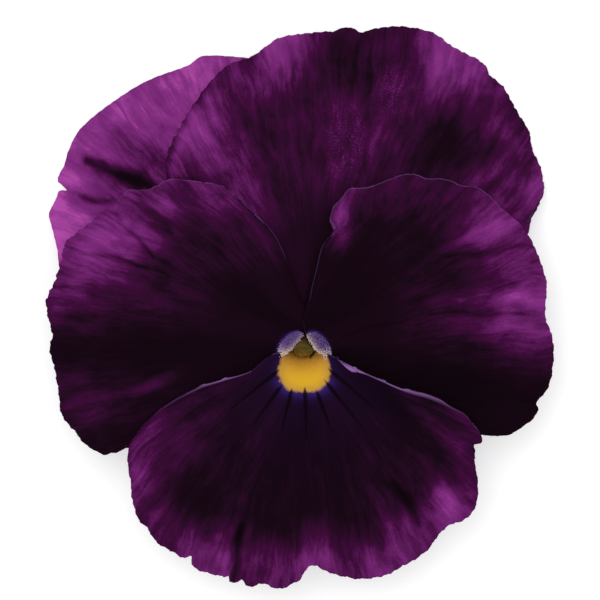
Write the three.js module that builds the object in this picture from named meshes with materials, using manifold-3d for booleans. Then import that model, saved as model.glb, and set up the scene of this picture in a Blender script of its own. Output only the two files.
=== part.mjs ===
// A single pansy bloom, as picked. It lies face up on the rims of its two upper petals and on its cut stalk.
// Millimetres. +Z is out of the face and +Y points to the upper petals. The origin is under the middle of the
// bloom, on the surface that it lies on.
import * as THREE from "three";
import { mergeVertices } from "three/addons/utils/BufferGeometryUtils.js";
import Module from "manifold-3d";

const wasm = await Module();
wasm.setup();

const { lerp, smoothstep, degToRad } = THREE.MathUtils;

// Driving dimensions
const petalThickness = 0.3;
const sepalThickness = 0.4;
const fit = 0.3; // gap between pieces that touch
const stalkRadius = 0.8;
const hookRadius = 2.6; // of the bend by which the stalk turns up to the bloom
const stalkEnd = -26;
const spurRadius = 1.25; // of the pouch behind the lower petal
const spurTip = 2.1;
const spurMouth = 5.6;

// Places in the plan of the face
const heart = { x: 0.3, y: -0.8 }; // axis of the ovary, round which the whole bloom is set out
const throat = { x: 0.3, y: -4.3 }; // middle of the opening seen from the front
const spurAxis = { x: 0.3, y: -5.0 };

// Heights of the receptacle, on which everything is seated
const flangeTop = 4.7; // carries the claws of the petals
const bossTop = 5.5; // carries the ovary and the stamens
const clawFoot = flangeTop + fit;
const innerFoot = bossTop + fit;

// Rings round the heart, from the inside out
const stamenRing = 1.45;
const bossRadius = 2.0;
const clawRing = bossRadius + fit + petalThickness / 2;
const flangeRadius = clawRing + 0.2;
const sepalRing = flangeRadius + fit + sepalThickness / 2;

// The face falls away from the heart to the rim, and most towards the upper petals
const fallReach = 30;
const fallPower = 1.6;
const sideFall = 5.6;
const topFall = 9.2;

// Heights of the middle of each petal at the heart, from the back petal to the front one
const levels = { upperLeft: 8.9, upperRight: 9.75, side: 10.55, lower: 11.4 };

// Each petal's outline in plan. The two sides run from the claw out to the rim, and the rim runs from the end of
// the first side to the end of the last. Where one petal covers another, the covered edge is a plain line.
const upperLeftOutline = {
  firstSide: [[0.5, 2.4], [2.2, 6.5]],
  rim: [
    [2.5, 13.3], [1.3, 21.2], [-1.2, 26.0], [-4.4, 28.0], [-7.2, 28.4], [-11.1, 28.5], [-13.2, 27.4],
    [-17.2, 25.8], [-20.8, 23.5], [-25.0, 20.3], [-26.2, 18.3], [-26.6, 16.2], [-27.5, 14.9], [-26.5, 13.7],
    [-27.4, 13.3], [-28.4, 10.8], [-27.6, 7.5], [-27.1, 4.2], [-23.9, 0.8],
  ],
  lastSide: [[-2.0, 0.6], [-6.9, 0.6], [-15.9, 0.2]],
};
const upperRightOutline = {
  firstSide: [[0.6, 1.9], [-5.0, 5.6], [-11.4, 9.4]],
  rim: [
    [-14.6, 12.1], [-15.3, 15.9], [-15.0, 17.6], [-14.1, 19.6], [-12.0, 23.2], [-10.3, 25.5], [-8.2, 27.2],
    [-5.8, 28.2], [-4.4, 29.2], [-2.2, 30.5], [1.2, 31.0], [5.5, 31.7], [7.0, 31.3], [8.2, 31.6], [11.4, 32.0],
    [14.7, 31.3], [16.4, 30.1], [18.7, 28.7], [20.4, 27.7], [21.6, 26.2], [23.0, 24.9], [24.5, 22.2],
    [25.8, 20.3], [27.1, 16.3], [27.6, 13.2], [25.8, 8.5],
  ],
  lastSide: [[2.5, 0.4], [6.8, 0.5], [14.7, 1.4], [22.7, 4.6]],
};
const leftSideOutline = {
  firstSide: [[0.2, -1.2], [0.0, 0.2], [-0.4, 1.4]],
  rim: [
    [-1.4, 5.1], [-3.1, 8.9], [-4.8, 10.4], [-6.5, 12.3], [-8.1, 13.3], [-9.8, 13.9], [-13.4, 14.3],
    [-15.0, 14.4], [-16.0, 13.7], [-17.6, 13.3], [-19.8, 13.2], [-21.7, 11.0], [-23.7, 9.8], [-25.5, 8.4],
    [-27.1, 6.5], [-28.6, 1.4], [-28.6, -0.6], [-28.1, -2.8], [-28.4, -4.5], [-27.4, -10.6], [-26.9, -12.5],
    [-25.2, -14.5], [-22.0, -16.9], [-20.8, -16.1], [-18.8, -15.8], [-12.5, -14.0],
  ],
  lastSide: [[-2.0, -4.6], [-6.9, -10.0]],
};
const rightSideOutline = {
  firstSide: [[1.0, -1.2], [1.1, 0.2], [1.2, 1.4]],
  rim: [
    [1.8, 4.8], [2.7, 6.8], [3.4, 10.8], [4.3, 12.3], [5.7, 13.5], [7.4, 13.4], [9.5, 14.1], [13.0, 15.1],
    [15.2, 14.4], [19.0, 13.8], [20.4, 13.4], [21.6, 12.1], [23.6, 10.4], [25.7, 8.3], [26.9, 6.0], [28.0, 2.2],
    [27.8, -0.9], [28.3, -3.0], [28.7, -4.9], [28.4, -7.4], [26.6, -10.8], [26.2, -12.7], [24.0, -14.4],
    [20.5, -14.5], [15.8, -14.4], [9.6, -12.8],
  ],
  lastSide: [[3.0, -4.4], [5.1, -8.9]],
};
const lowerOutline = {
  firstSide: [[-2.3, -5.1], [-3.7, -5.6], [-5.8, -7.3], [-11.3, -9.0], [-15.4, -11.2]],
  rim: [
    [-17.9, -13.5], [-19.2, -15.4], [-19.5, -17.6], [-19.0, -21.3], [-18.3, -24.1], [-16.0, -27.0],
    [-13.9, -28.3], [-12.0, -29.6], [-8.1, -30.6], [-7.4, -31.4], [-4.8, -31.6], [-2.7, -32.0], [-0.3, -31.0],
    [0.9, -29.5], [1.7, -29.3], [4.0, -30.2], [6.7, -30.8], [9.5, -30.5], [11.3, -29.4], [14.3, -27.5],
    [16.8, -24.6], [18.2, -24.4], [19.6, -23.0], [20.1, -20.8], [19.7, -16.8], [20.4, -14.4], [18.5, -12.0],
  ],
  lastSide: [[3.1, -5.2], [5.2, -6.5], [7.6, -7.6], [11.6, -9.3], [14.9, -10.3]],
};

// Finishes
function finish(color, roughness) {
  return new THREE.MeshStandardMaterial({ color, roughness, metalness: 0, side: THREE.DoubleSide });
}
const palePurple = finish(0x6d2173, 0.75);
const darkPurple = finish(0x3a0f45, 0.75);
const sepalGreen = finish(0x6f8f3d, 0.6);
const stalkGreen = finish(0x7c9a48, 0.5);
const pistilGreen = finish(0x9aa84a, 0.5);
const anther = finish(0xc9852f, 0.8);

// Solids

// The volume inside a closed list of triangles, negative when they face inwards.
function signedVolume(points, triangles) {
  const cross = new THREE.Vector3();
  let volume = 0;
  for (const [a, b, c] of triangles) {
    volume += cross.crossVectors(points[b], points[c]).dot(points[a]) / 6;
  }
  return volume;
}

function closedGeometry(points, triangles) {
  const outward = signedVolume(points, triangles) > 0;
  const index = triangles.flatMap(([a, b, c]) => (outward ? [a, b, c] : [a, c, b]));
  return new THREE.BufferGeometry().setFromPoints(points).setIndex(index);
}

function toSolid(geometry) {
  const bare = geometry.clone();
  bare.deleteAttribute("normal");
  bare.deleteAttribute("uv");
  const merged = mergeVertices(bare);
  return new wasm.Manifold(
    new wasm.Mesh({
      numProp: 3,
      vertProperties: merged.getAttribute("position").array,
      triVerts: new Uint32Array(merged.index.array),
    }),
  );
}

function join(first, second) {
  const joined = toSolid(first).add(toSolid(second)).getMesh();
  const geometry = new THREE.BufferGeometry();
  geometry.setAttribute("position", new THREE.BufferAttribute(joined.vertProperties, 3));
  geometry.setIndex(new THREE.BufferAttribute(joined.triVerts, 1));
  return geometry;
}

function normalAt(rows, r, c) {
  const row = rows[r];
  const above = rows[Math.min(r + 1, rows.length - 1)][c];
  const below = rows[Math.max(r - 1, 0)][c];
  const right = row[Math.min(c + 1, row.length - 1)];
  const left = row[Math.max(c - 1, 0)];
  const along = above.clone().sub(below);
  const across = right.clone().sub(left);
  return along.cross(across).normalize();
}

const upright = new THREE.Vector3(0, 0, 1);

// A sheet of even thickness from a grid of points on its middle surface. Where it lies on the surface under the
// bloom, its underside is flat.
function sheet(rows, thickness) {
  const columns = rows[0].length;
  const points = [];
  for (const side of [0.5, -0.5]) {
    rows.forEach((row, r) => {
      row.forEach((point, c) => {
        const normal = point.z > thickness / 2 ? normalAt(rows, r, c) : upright;
        const skin = point.clone().addScaledVector(normal, side * thickness);
        points.push(skin.setZ(Math.max(skin.z, 0)));
      });
    });
  }
  const back = rows.length * columns;
  const at = (r, c) => r * columns + c;
  const triangles = [];
  const quad = (a, b, c, d) => triangles.push([a, b, c], [a, c, d]);
  for (let r = 0; r < rows.length - 1; r += 1) {
    for (let c = 0; c < columns - 1; c += 1) {
      quad(at(r, c), at(r, c + 1), at(r + 1, c + 1), at(r + 1, c));
      quad(back + at(r, c), back + at(r + 1, c), back + at(r + 1, c + 1), back + at(r, c + 1));
    }
  }
  const edge = (a, b) => quad(a, back + a, back + b, b);
  const lastRow = rows.length - 1;
  const lastColumn = columns - 1;
  for (let c = 0; c < lastColumn; c += 1) {
    edge(at(0, c), at(0, c + 1));
    edge(at(lastRow, c + 1), at(lastRow, c));
  }
  for (let r = 0; r < lastRow; r += 1) {
    edge(at(r + 1, 0), at(r, 0));
    edge(at(r, lastColumn), at(r + 1, lastColumn));
  }
  return closedGeometry(points, triangles);
}

// A round rod along a path that stays in a plane of constant x, with a flat facet on its underside.
function rod(path, radius, sides) {
  const sideways = new THREE.Vector3(1, 0, 0);
  const halfFacet = Math.PI / sides;
  const points = [];
  path.forEach((point, i) => {
    const ahead = path[Math.min(i + 1, path.length - 1)];
    const behind = path[Math.max(i - 1, 0)];
    const along = ahead.clone().sub(behind).normalize();
    const up = along.clone().cross(sideways);
    for (let s = 0; s < sides; s += 1) {
      const angle = halfFacet + (2 * Math.PI * s) / sides - Math.PI / 2;
      const corner = radius / Math.cos(halfFacet);
      points.push(
        point.clone()
          .addScaledVector(sideways, corner * Math.cos(angle))
          .addScaledVector(up, corner * Math.sin(angle)),
      );
    }
  });
  const last = path.length - 1;
  const triangles = [];
  for (let i = 0; i < last; i += 1) {
    for (let s = 0; s < sides; s += 1) {
      const next = (s + 1) % sides;
      const a = i * sides;
      const b = a + sides;
      triangles.push([a + s, b + s, b + next], [a + s, b + next, a + next]);
    }
  }
  for (let s = 1; s < sides - 1; s += 1) {
    triangles.push([0, s, s + 1], [last * sides, last * sides + s + 1, last * sides + s]);
  }
  return closedGeometry(points, triangles);
}

// A shape turned round an upright axis, from a profile of radius and height.
function turned(profile, { axis, sides }) {
  return new THREE.LatheGeometry(profile.map(([r, z]) => new THREE.Vector2(r, z)), sides)
    .rotateX(Math.PI / 2)
    .translate(axis.x, axis.y, 0);
}

// Petals

const petalColumns = 40;
const clawRows = [0, 0.5, 0.8]; // shares of the claw's height
const bladeRows = [0, 0.12, 0.35, 0.6, 0.8, 0.91, 1]; // shares of the way from the claw to the rim
const clawWidth = 1.7;
const clawTurn = 3; // how late on its way up the claw leaves its foot and turns to the lip

function smoothLine(points) {
  return new THREE.CatmullRomCurve3(points.map(([x, y]) => new THREE.Vector3(x, y, 0)), false, "catmullrom", 0.5);
}

// How far the face has fallen at a place in plan.
function fall(x, y) {
  const reach = Math.hypot(x - heart.x, y - heart.y);
  const upward = reach > 0 ? (y - heart.y) / reach : 0;
  const rimFall = lerp(sideFall, topFall, smoothstep(upward, 0.1, 0.65));
  return rimFall * (reach / fallReach) ** fallPower;
}

function distance(x, y, place) {
  return Math.hypot(x - place.x, y - place.y);
}

// The side petals roll down into the throat.
const throatDip = 1.0;
const throatReach = 2.0;
function sideDip(x, y) {
  return throatDip * Math.exp(-((distance(x, y, throat) / throatReach) ** 2));
}

// The lower petal runs down a gutter into its spur.
const gutterDepth = 3.0;
const gutterHalfWidth = 1.5;
const gutterLength = 2.6;
function gutterDip(x, y) {
  const across = (x - spurAxis.x) / gutterHalfWidth;
  const down = (y - spurAxis.y) / gutterLength;
  return gutterDepth * Math.exp(-across * across - down * down);
}

// Lowest height of a petal's middle: on the surface, or on the petal behind where the two upper petals overlap.
const lying = petalThickness / 2;
const overlapStep = levels.upperRight - levels.upperLeft;
const overlapEnd = { from: 3, to: 7 }; // just past the upper left petal's edge
const onSurface = () => lying;
const onUpperLeft = (x) => lying + overlapStep * (1 - smoothstep(x, overlapEnd.from, overlapEnd.to));

// A point of the blade between its two sides, from the claw (v = 0) to the rim (v = 1).
function bladePlan(lines, u, v) {
  const { first, last, lip, rim } = lines;
  const between = first.getPointAt(v).lerp(last.getPointAt(v), u);
  const outward = lip(u).lerp(rim.getPointAt(u), v);
  const start = lip(0).lerp(rim.getPointAt(0), v);
  const end = lip(1).lerp(rim.getPointAt(1), v);
  return between.add(outward).sub(start.lerp(end, u));
}

// A petal's middle surface: the claw rises from its foot to the lip, and the blade spreads from there.
function petalRows({ outline, lipMiddle, height, foot }) {
  const { firstSide, rim, lastSide } = outline;
  const lines = {
    first: smoothLine([...firstSide, rim[0]]),
    last: smoothLine([...lastSide, rim[rim.length - 1]]),
    rim: smoothLine(rim),
    lip: (u) => {
      const ends = [new THREE.Vector3(...firstSide[0], 0), new THREE.Vector3(...lastSide[0], 0)];
      const middle = new THREE.Vector3(...lipMiddle, 0);
      return new THREE.QuadraticBezierCurve3(ends[0], middle, ends[1]).getPoint(u);
    },
  };
  const columns = Array.from({ length: petalColumns + 1 }, (_, c) => c / petalColumns);
  const blade = bladeRows.map((v) =>
    columns.map((u) => {
      const point = bladePlan(lines, u, v);
      return point.setZ(height(point.x, point.y));
    }),
  );
  const claw = clawRows.map((w) =>
    columns.map((u, c) => {
      const base = foot(u);
      const top = blade[0][c];
      return new THREE.Vector3(
        lerp(base.x, top.x, w ** clawTurn),
        lerp(base.y, top.y, w ** clawTurn),
        lerp(base.z, top.z, w),
      );
    }),
  );
  return [...claw, ...blade];
}

// The foot of a claw on the flange's ring: a short line square to the ring's radius. It runs anticlockwise, or
// clockwise where turn is -1.
function ringFoot(degrees, turn) {
  const angle = degToRad(degrees);
  return (u) => {
    const across = turn * (u - 0.5) * clawWidth;
    return new THREE.Vector3(
      heart.x + clawRing * Math.cos(angle) - across * Math.sin(angle),
      heart.y + clawRing * Math.sin(angle) + across * Math.cos(angle),
      clawFoot,
    );
  };
}

// The foot of the lower petal's gutter, sunk into the front half of the spur's wall.
const gutterFoot = 4.85;
const gutterInset = 0.06;
const gutterEnds = { first: 185, last: 355 }; // degrees round the spur's axis
function spurFoot(u) {
  const angle = degToRad(lerp(gutterEnds.first, gutterEnds.last, u));
  const radius = spurRadius - petalThickness / 2 - gutterInset;
  return new THREE.Vector3(
    spurAxis.x + radius * Math.cos(angle),
    spurAxis.y + radius * Math.sin(angle),
    gutterFoot,
  );
}

const backHeight = (level, lowest) => (x, y) => Math.max(level - fall(x, y), lowest(x));
const sideHeight = (x, y) => levels.side - fall(x, y) - sideDip(x, y);
const lowerHeight = (x, y) => levels.lower - fall(x, y) - gutterDip(x, y);

function petal(shape) {
  return sheet(petalRows(shape), petalThickness);
}

// The pouch is a cup turned round the spur's axis, with a round tip.
const spurSides = 20;
const tipSteps = 4;
function spurCup() {
  const inside = spurRadius - petalThickness;
  const tip = (radius) =>
    Array.from({ length: tipSteps + 1 }, (_, i) => {
      const angle = (Math.PI / 2) * (i / tipSteps);
      return [radius * Math.sin(angle), spurTip + spurRadius - radius * Math.cos(angle)];
    });
  return turned([...tip(spurRadius), [spurRadius, spurMouth], [inside, spurMouth], ...tip(inside).reverse()], {
    axis: spurAxis,
    sides: spurSides,
  });
}

// Sepals

// A green scale seated on its own ring. Its pointed blade lies under the petals, and behind the seat it runs on
// as a short ear.
const sepalReach = 12.5;
const sepalSeat = 4.6;
const earDepth = 2.4;
const earLean = 0.7;
const sepalRise = 0.9;
const sepalRows = [-1, -0.75, -0.4, 0, 0.05, 0.12, 0.25, 0.45, 0.7, 0.88, 1];
const sepalColumns = [-1, -0.5, 0, 0.5, 1];
const sepalHalfWidth = 2.2;
const seatHalfWidth = 0.95;
const earHalfWidth = 1.25;
const earTipShare = 0.6;

// Half the width at s, which runs from -1 at the ear's end through 0 at the seat to 1 at the point.
function sepalWidth(s) {
  if (s < 0) {
    return lerp(seatHalfWidth, earHalfWidth, -s) * (s === -1 ? earTipShare : 1);
  }
  return sepalHalfWidth * Math.sin(Math.PI * lerp(0.12, 0.98, s)) ** 0.8;
}

function sepal(degrees, roof) {
  const angle = degToRad(degrees);
  const rows = sepalRows.map((s) =>
    sepalColumns.map((across) => {
      const reach = s < 0 ? sepalRing - earLean * s : lerp(sepalRing, sepalReach, s);
      const offset = across * sepalWidth(s);
      const x = heart.x + reach * Math.cos(angle) - offset * Math.sin(angle);
      const y = heart.y + reach * Math.sin(angle) + offset * Math.cos(angle);
      const rise = (roof - sepalSeat) * (1 - Math.exp(-(reach - sepalRing) / sepalRise));
      const z = s < 0 ? sepalSeat + earDepth * s : sepalSeat + rise - fall(x, y);
      return new THREE.Vector3(x, y, z);
    }),
  );
  return sheet(rows, sepalThickness);
}

// Stalk

// It lies along the surface, turns up through the hook and swells into the receptacle.
const stalkSides = 10;
const straightSteps = 5;
const bendSteps = 8;
const receptacleSides = 24;
function stalk() {
  const hookCentre = { y: heart.y - hookRadius, z: stalkRadius + hookRadius };
  const straight = Array.from(
    { length: straightSteps },
    (_, i) => new THREE.Vector3(heart.x, lerp(stalkEnd, hookCentre.y, i / straightSteps), stalkRadius),
  );
  const bend = Array.from({ length: bendSteps + 1 }, (_, i) => {
    const angle = (Math.PI / 2) * (i / bendSteps);
    return new THREE.Vector3(
      heart.x,
      hookCentre.y + hookRadius * Math.sin(angle),
      hookCentre.z - hookRadius * Math.cos(angle),
    );
  });
  const top = new THREE.Vector3(heart.x, heart.y, flangeTop - fit);
  const neck = hookCentre.z + 0.2;
  const chamfer = 0.3;
  const receptacle = turned(
    [
      [0, neck], [stalkRadius, neck], [flangeRadius, flangeTop - 0.5], [flangeRadius, flangeTop],
      [bossRadius, flangeTop], [bossRadius, bossTop - chamfer], [bossRadius - chamfer, bossTop], [0, bossTop],
    ],
    { axis: heart, sides: receptacleSides },
  );
  return join(rod([...straight, ...bend, top], stalkRadius, stalkSides), receptacle);
}

// A small scale beside the stalk, with its point towards the bloom and a little away from the stalk.
const bractLength = 3.6;
const bractHalfWidth = 0.45;
const bractThickness = 0.3;
const bractSpread = 0.9;
const bractRows = [0, 0.25, 0.6, 1];
function bract(side, foot) {
  const clear = stalkRadius + fit + bractThickness / 2 + 0.1;
  const rows = bractRows.map((s) =>
    [-1, 0, 1].map((across) => {
      const halfWidth = bractHalfWidth * Math.sin(Math.PI * lerp(0.25, 0.97, s));
      return new THREE.Vector3(
        heart.x + side * (clear + bractSpread * s * s),
        foot + bractLength * s,
        stalkRadius + across * halfWidth,
      );
    }),
  );
  return sheet(rows, bractThickness);
}

// Middle of the bloom

// The ovary stands on the boss. The style leans from its top into the throat and ends in a round stigma.
const styleRadius = 0.3;
const styleSides = 8;
const stigma = { radius: 0.8, height: 9.7 };
function pistil() {
  const ovary = turned([[0, innerFoot], [0.7, innerFoot], [0.95, 6.4], [0.9, 7.0], [0.55, 7.6], [0, 7.8]], {
    axis: heart,
    sides: 14,
  });
  const stylePath = [[heart.y, 7.3], [-0.95, 7.9], [-1.6, 8.3], [-2.6, 8.55], [-3.5, 8.9], [-4.1, 9.4]];
  const style = rod(stylePath.map(([y, z]) => new THREE.Vector3(heart.x, y, z)), styleRadius, styleSides);
  const head = new THREE.SphereGeometry(stigma.radius, 12, 8).translate(throat.x, throat.y, stigma.height);
  return join(join(ovary, style), head);
}

// The stamens are broad scales that stand close round the ovary.
const stamenRows = [[innerFoot, 0.5], [6.5, 0.62], [7.1, 0.55], [7.6, 0.25]]; // height and half width
const stamenThickness = 0.45;
function stamen(degrees) {
  const rows = stamenRows.map(([z, halfWidth]) =>
    [-1, 0, 1].map((across) => {
      const angle = degToRad(degrees) + (across * halfWidth) / stamenRing;
      return new THREE.Vector3(
        heart.x + stamenRing * Math.cos(angle),
        heart.y + stamenRing * Math.sin(angle),
        z,
      );
    }),
  );
  return sheet(rows, stamenThickness);
}

// Assembly
const bloom = new THREE.Group();
bloom.name = "pansy_bloom";

function add(name, geometry, material) {
  const mesh = new THREE.Mesh(geometry, material);
  mesh.name = name;
  mesh.geometry.computeVertexNormals();
  bloom.add(mesh);
}

const petals = {
  upper_left_petal: {
    outline: upperLeftOutline,
    lipMiddle: [-1.2, 2.1],
    foot: ringFoot(123, 1),
    height: backHeight(levels.upperLeft, onSurface),
  },
  upper_right_petal: {
    outline: upperRightOutline,
    lipMiddle: [1.8, 2.1],
    foot: ringFoot(57, -1),
    height: backHeight(levels.upperRight, onUpperLeft),
  },
  left_side_petal: {
    outline: leftSideOutline,
    lipMiddle: [-0.2, -4.2],
    foot: ringFoot(186, 1),
    height: sideHeight,
  },
  right_side_petal: {
    outline: rightSideOutline,
    lipMiddle: [1.0, -4.2],
    foot: ringFoot(-6, -1),
    height: sideHeight,
  },
};
for (const [name, shape] of Object.entries(petals)) {
  add(name, petal(shape), name === "upper_left_petal" ? palePurple : darkPurple);
}
const lowerBlade = petal({ outline: lowerOutline, lipMiddle: [0.6, -8.0], foot: spurFoot, height: lowerHeight });
add("lower_petal", join(lowerBlade, spurCup()), darkPurple);

const underUpperPetals = 7.9;
const underSidePetals = 9.3;
const sepals = {
  top_sepal: [90, underUpperPetals],
  upper_left_sepal: [155, underUpperPetals],
  upper_right_sepal: [25, underUpperPetals],
  lower_left_sepal: [218, underSidePetals],
  lower_right_sepal: [-38, underSidePetals],
};
for (const [name, [degrees, roof]] of Object.entries(sepals)) {
  add(name, sepal(degrees, roof), sepalGreen);
}

add("stalk", stalk(), stalkGreen);
add("left_bract", bract(-1, -14), sepalGreen);
add("right_bract", bract(1, -15.5), sepalGreen);
add("pistil", pistil(), pistilGreen);

const stamens = {
  top_stamen: 90,
  upper_left_stamen: 162,
  upper_right_stamen: 18,
  lower_left_stamen: 234,
  lower_right_stamen: -54,
};
for (const [name, degrees] of Object.entries(stamens)) {
  add(name, stamen(degrees), anther);
}

export default bloom;
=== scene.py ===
import math

import bmesh
import bpy
import numpy as np
from mathutils import Euler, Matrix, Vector


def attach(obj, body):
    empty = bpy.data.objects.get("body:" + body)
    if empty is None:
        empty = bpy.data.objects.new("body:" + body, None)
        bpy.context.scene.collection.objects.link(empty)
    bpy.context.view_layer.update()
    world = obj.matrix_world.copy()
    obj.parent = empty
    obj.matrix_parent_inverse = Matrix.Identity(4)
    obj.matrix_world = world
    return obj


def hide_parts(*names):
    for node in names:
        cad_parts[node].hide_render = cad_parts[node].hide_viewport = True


# One dark purple pansy bloom, lying face up. Sizes and places in the dictionaries are in millimetres, in the
# frame's own axes, and colours are scene-linear.
mm = 0.001
seam = 0.001 * mm  # points nearer than this are one point
farOutside = -9.0  # how far inside a mark a point is that lies nowhere near it

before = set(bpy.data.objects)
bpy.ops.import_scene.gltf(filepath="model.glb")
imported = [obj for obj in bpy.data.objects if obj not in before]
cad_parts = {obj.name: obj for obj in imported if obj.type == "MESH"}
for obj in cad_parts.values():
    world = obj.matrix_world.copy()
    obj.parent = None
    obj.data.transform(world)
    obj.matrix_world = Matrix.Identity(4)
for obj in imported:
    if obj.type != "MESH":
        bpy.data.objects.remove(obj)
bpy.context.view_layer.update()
print("stage 1: frame with", len(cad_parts), "nodes")


# Numbers and lines

def lerp(a, b, share):
    return a + (b - a) * share


def smoothstep(x, low, high):
    t = np.clip((x - low) / (high - low), 0, 1)
    return t * t * (3 - 2 * t)


def smoothLine(points, fineness=24):
    # a curve through the points, read at any share of its length
    p = np.array(points, float)
    p = np.vstack([2 * p[0] - p[1], p, 2 * p[-1] - p[-2]])
    t = np.linspace(0, 1, fineness, endpoint=False)[:, None]
    runs = []
    for a, b, c, d in zip(p, p[1:], p[2:], p[3:]):
        bend = 2 * a - 5 * b + 4 * c - d
        twist = 3 * b - a - 3 * c + d
        runs.append(b + 0.5 * ((c - a) * t + bend * t**2 + twist * t**3))
    line = np.vstack([*runs, p[-2:-1]])
    steps = np.linalg.norm(np.diff(line, axis=0), axis=1)
    length = np.concatenate([[0], np.cumsum(steps)])

    def at(share):
        place = share * length[-1]
        return np.stack([np.interp(place, length, values) for values in line.T], -1)

    return at, length[-1]


def segmentDistance(x, y, start, end):
    # distance to a straight stroke, and how far along it the nearest point is
    along = np.subtract(end, start)
    share = ((x - start[0]) * along[0] + (y - start[1]) * along[1]) / np.dot(along, along)
    share = np.clip(share, 0, 1)
    return np.hypot(x - start[0] - share * along[0], y - start[1] - share * along[1]), share


# Meshes

def placeObject(name, data):
    item = bpy.data.objects.new(name, data)
    bpy.context.scene.collection.objects.link(item)
    return item


def meshObject(name, points, faces, attributes):
    mesh = bpy.data.meshes.new(name)
    mesh.from_pydata((points.reshape(-1, 3) * mm).tolist(), [], faces.tolist())
    for key, values in attributes.items():
        flat = np.asarray(values, np.float32).ravel()
        isVector = flat.size == 3 * len(mesh.vertices)
        layer = mesh.attributes.new(key, "FLOAT_VECTOR" if isVector else "FLOAT", "POINT")
        layer.data.foreach_set("vector" if isVector else "value", flat)
    mesh.update()
    return placeObject(name, mesh)


def gridFaces(rows, columns, turned=False, wrap=False):
    index = np.arange(rows * columns).reshape(rows, columns)
    if wrap:
        index = np.hstack([index, index[:, :1]])
    quads = np.stack([index[:-1, :-1], index[:-1, 1:], index[1:, 1:], index[1:, :-1]], -1).reshape(-1, 4)
    return quads[:, ::-1] if turned else quads


def evaluatedMesh(piece):
    bpy.context.view_layer.update()
    graph = bpy.context.evaluated_depsgraph_get()
    return bpy.data.meshes.new_from_object(piece.evaluated_get(graph))


def joinPieces(piece, *others):
    bpy.ops.object.select_all(action="DESELECT")
    for part in (piece, *others):
        part.select_set(True)
    bpy.context.view_layer.objects.active = piece
    bpy.ops.object.join()
    return piece


def standIn(piece, slot, *nodes):
    # the piece rides on the one body and takes the place of these CAD nodes
    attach(piece, "root")
    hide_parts(*nodes)
    return piece


# Node trees, for shapes and for materials

def addNode(tree, kind, settings=None, inputs=None):
    node = tree.nodes.new(kind)
    for key, value in (settings or {}).items():
        setattr(node, key, value)
    for key, value in (inputs or {}).items():
        if isinstance(value, bpy.types.NodeSocket):
            tree.links.new(value, node.inputs[key])
        else:
            node.inputs[key].default_value = value
    return node


def calc(tree, operation, *values):
    return addNode(tree, "ShaderNodeMath", {"operation": operation}, dict(enumerate(values))).outputs[0]


def calcVector(tree, operation, *values):
    node = addNode(tree, "ShaderNodeVectorMath", {"operation": operation}, dict(enumerate(values)))
    return node.outputs[0]


def scaleVector(tree, vector, factor):
    node = addNode(tree, "ShaderNodeVectorMath", {"operation": "SCALE"}, {"Vector": vector, "Scale": factor})
    return node.outputs[0]


def mapRange(tree, value, low, high, outLow=0.0, outHigh=1.0, kind="SMOOTHSTEP"):
    node = addNode(
        tree, "ShaderNodeMapRange", {"interpolation_type": kind},
        {0: value, 1: low, 2: high, 3: outLow, 4: outHigh},
    )
    return node.outputs[0]


def noise(tree, vector, scale=1.0, detail=3.0, roughness=0.5):
    node = addNode(
        tree, "ShaderNodeTexNoise", {"noise_dimensions": "3D"},
        {"Vector": vector, "Scale": scale, "Detail": detail, "Roughness": roughness},
    )
    return node.outputs[0]


def mixColour(tree, share, a, b):
    node = addNode(tree, "ShaderNodeMix", {"data_type": "RGBA"}, {0: share, 6: a, 7: b})
    return node.outputs[2]


def colourRamp(tree, value, stops):
    node = addNode(tree, "ShaderNodeValToRGB", None, {0: value})
    ramp = node.color_ramp
    while len(ramp.elements) < len(stops):
        ramp.elements.new(0.5)
    for element, (position, colour) in zip(ramp.elements, stops):
        element.position = position
        element.color = (*colour, 1)
    return node.outputs[0]


def shapeTree(name, sockets):
    tree = bpy.data.node_groups.new(name, "GeometryNodeTree")
    tree.interface.new_socket("Geometry", in_out="INPUT", socket_type="NodeSocketGeometry")
    for label, kind in sockets.items():
        tree.interface.new_socket(label, in_out="INPUT", socket_type="NodeSocket" + kind)
    tree.interface.new_socket("Geometry", in_out="OUTPUT", socket_type="NodeSocketGeometry")
    given = tree.nodes.new("NodeGroupInput").outputs
    result = tree.nodes.new("NodeGroupOutput").inputs
    return tree, given, result


def giveTree(piece, tree, values):
    modifier = piece.modifiers.new(tree.name, "NODES")
    modifier.node_group = tree
    for item in tree.interface.items_tree:
        if item.item_type == "SOCKET" and item.in_out == "INPUT" and item.name in values:
            modifier[item.identifier] = values[item.name]


def runTree(piece, tree, values):
    # what the tree makes becomes the piece's own mesh, and the modifier goes
    giveTree(piece, tree, values)
    old = piece.data
    mesh = evaluatedMesh(piece)
    piece.modifiers.clear()
    piece.data = mesh
    bpy.data.meshes.remove(old)
    mesh.name = piece.name
    return piece


def namedVector(tree, name):
    node = addNode(tree, "GeometryNodeInputNamedAttribute", {"data_type": "FLOAT_VECTOR"}, {"Name": name})
    return node.outputs[0]


def namedFloat(tree, name):
    node = addNode(tree, "GeometryNodeInputNamedAttribute", {"data_type": "FLOAT"}, {"Name": name})
    return node.outputs[0]


def readAttribute(tree, name, output="Fac"):
    return addNode(tree, "ShaderNodeAttribute", {"attribute_name": name}).outputs[output]


def newMaterial(name, specular, **constants):
    material = bpy.data.materials.new(name)
    material.use_nodes = True
    shader = material.node_tree.nodes["Principled BSDF"]
    shader.inputs["Specular IOR Level"].default_value = specular
    for label, value in constants.items():
        shader.inputs[label.replace("_", " ")].default_value = value
    return material, material.node_tree, shader


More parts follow.
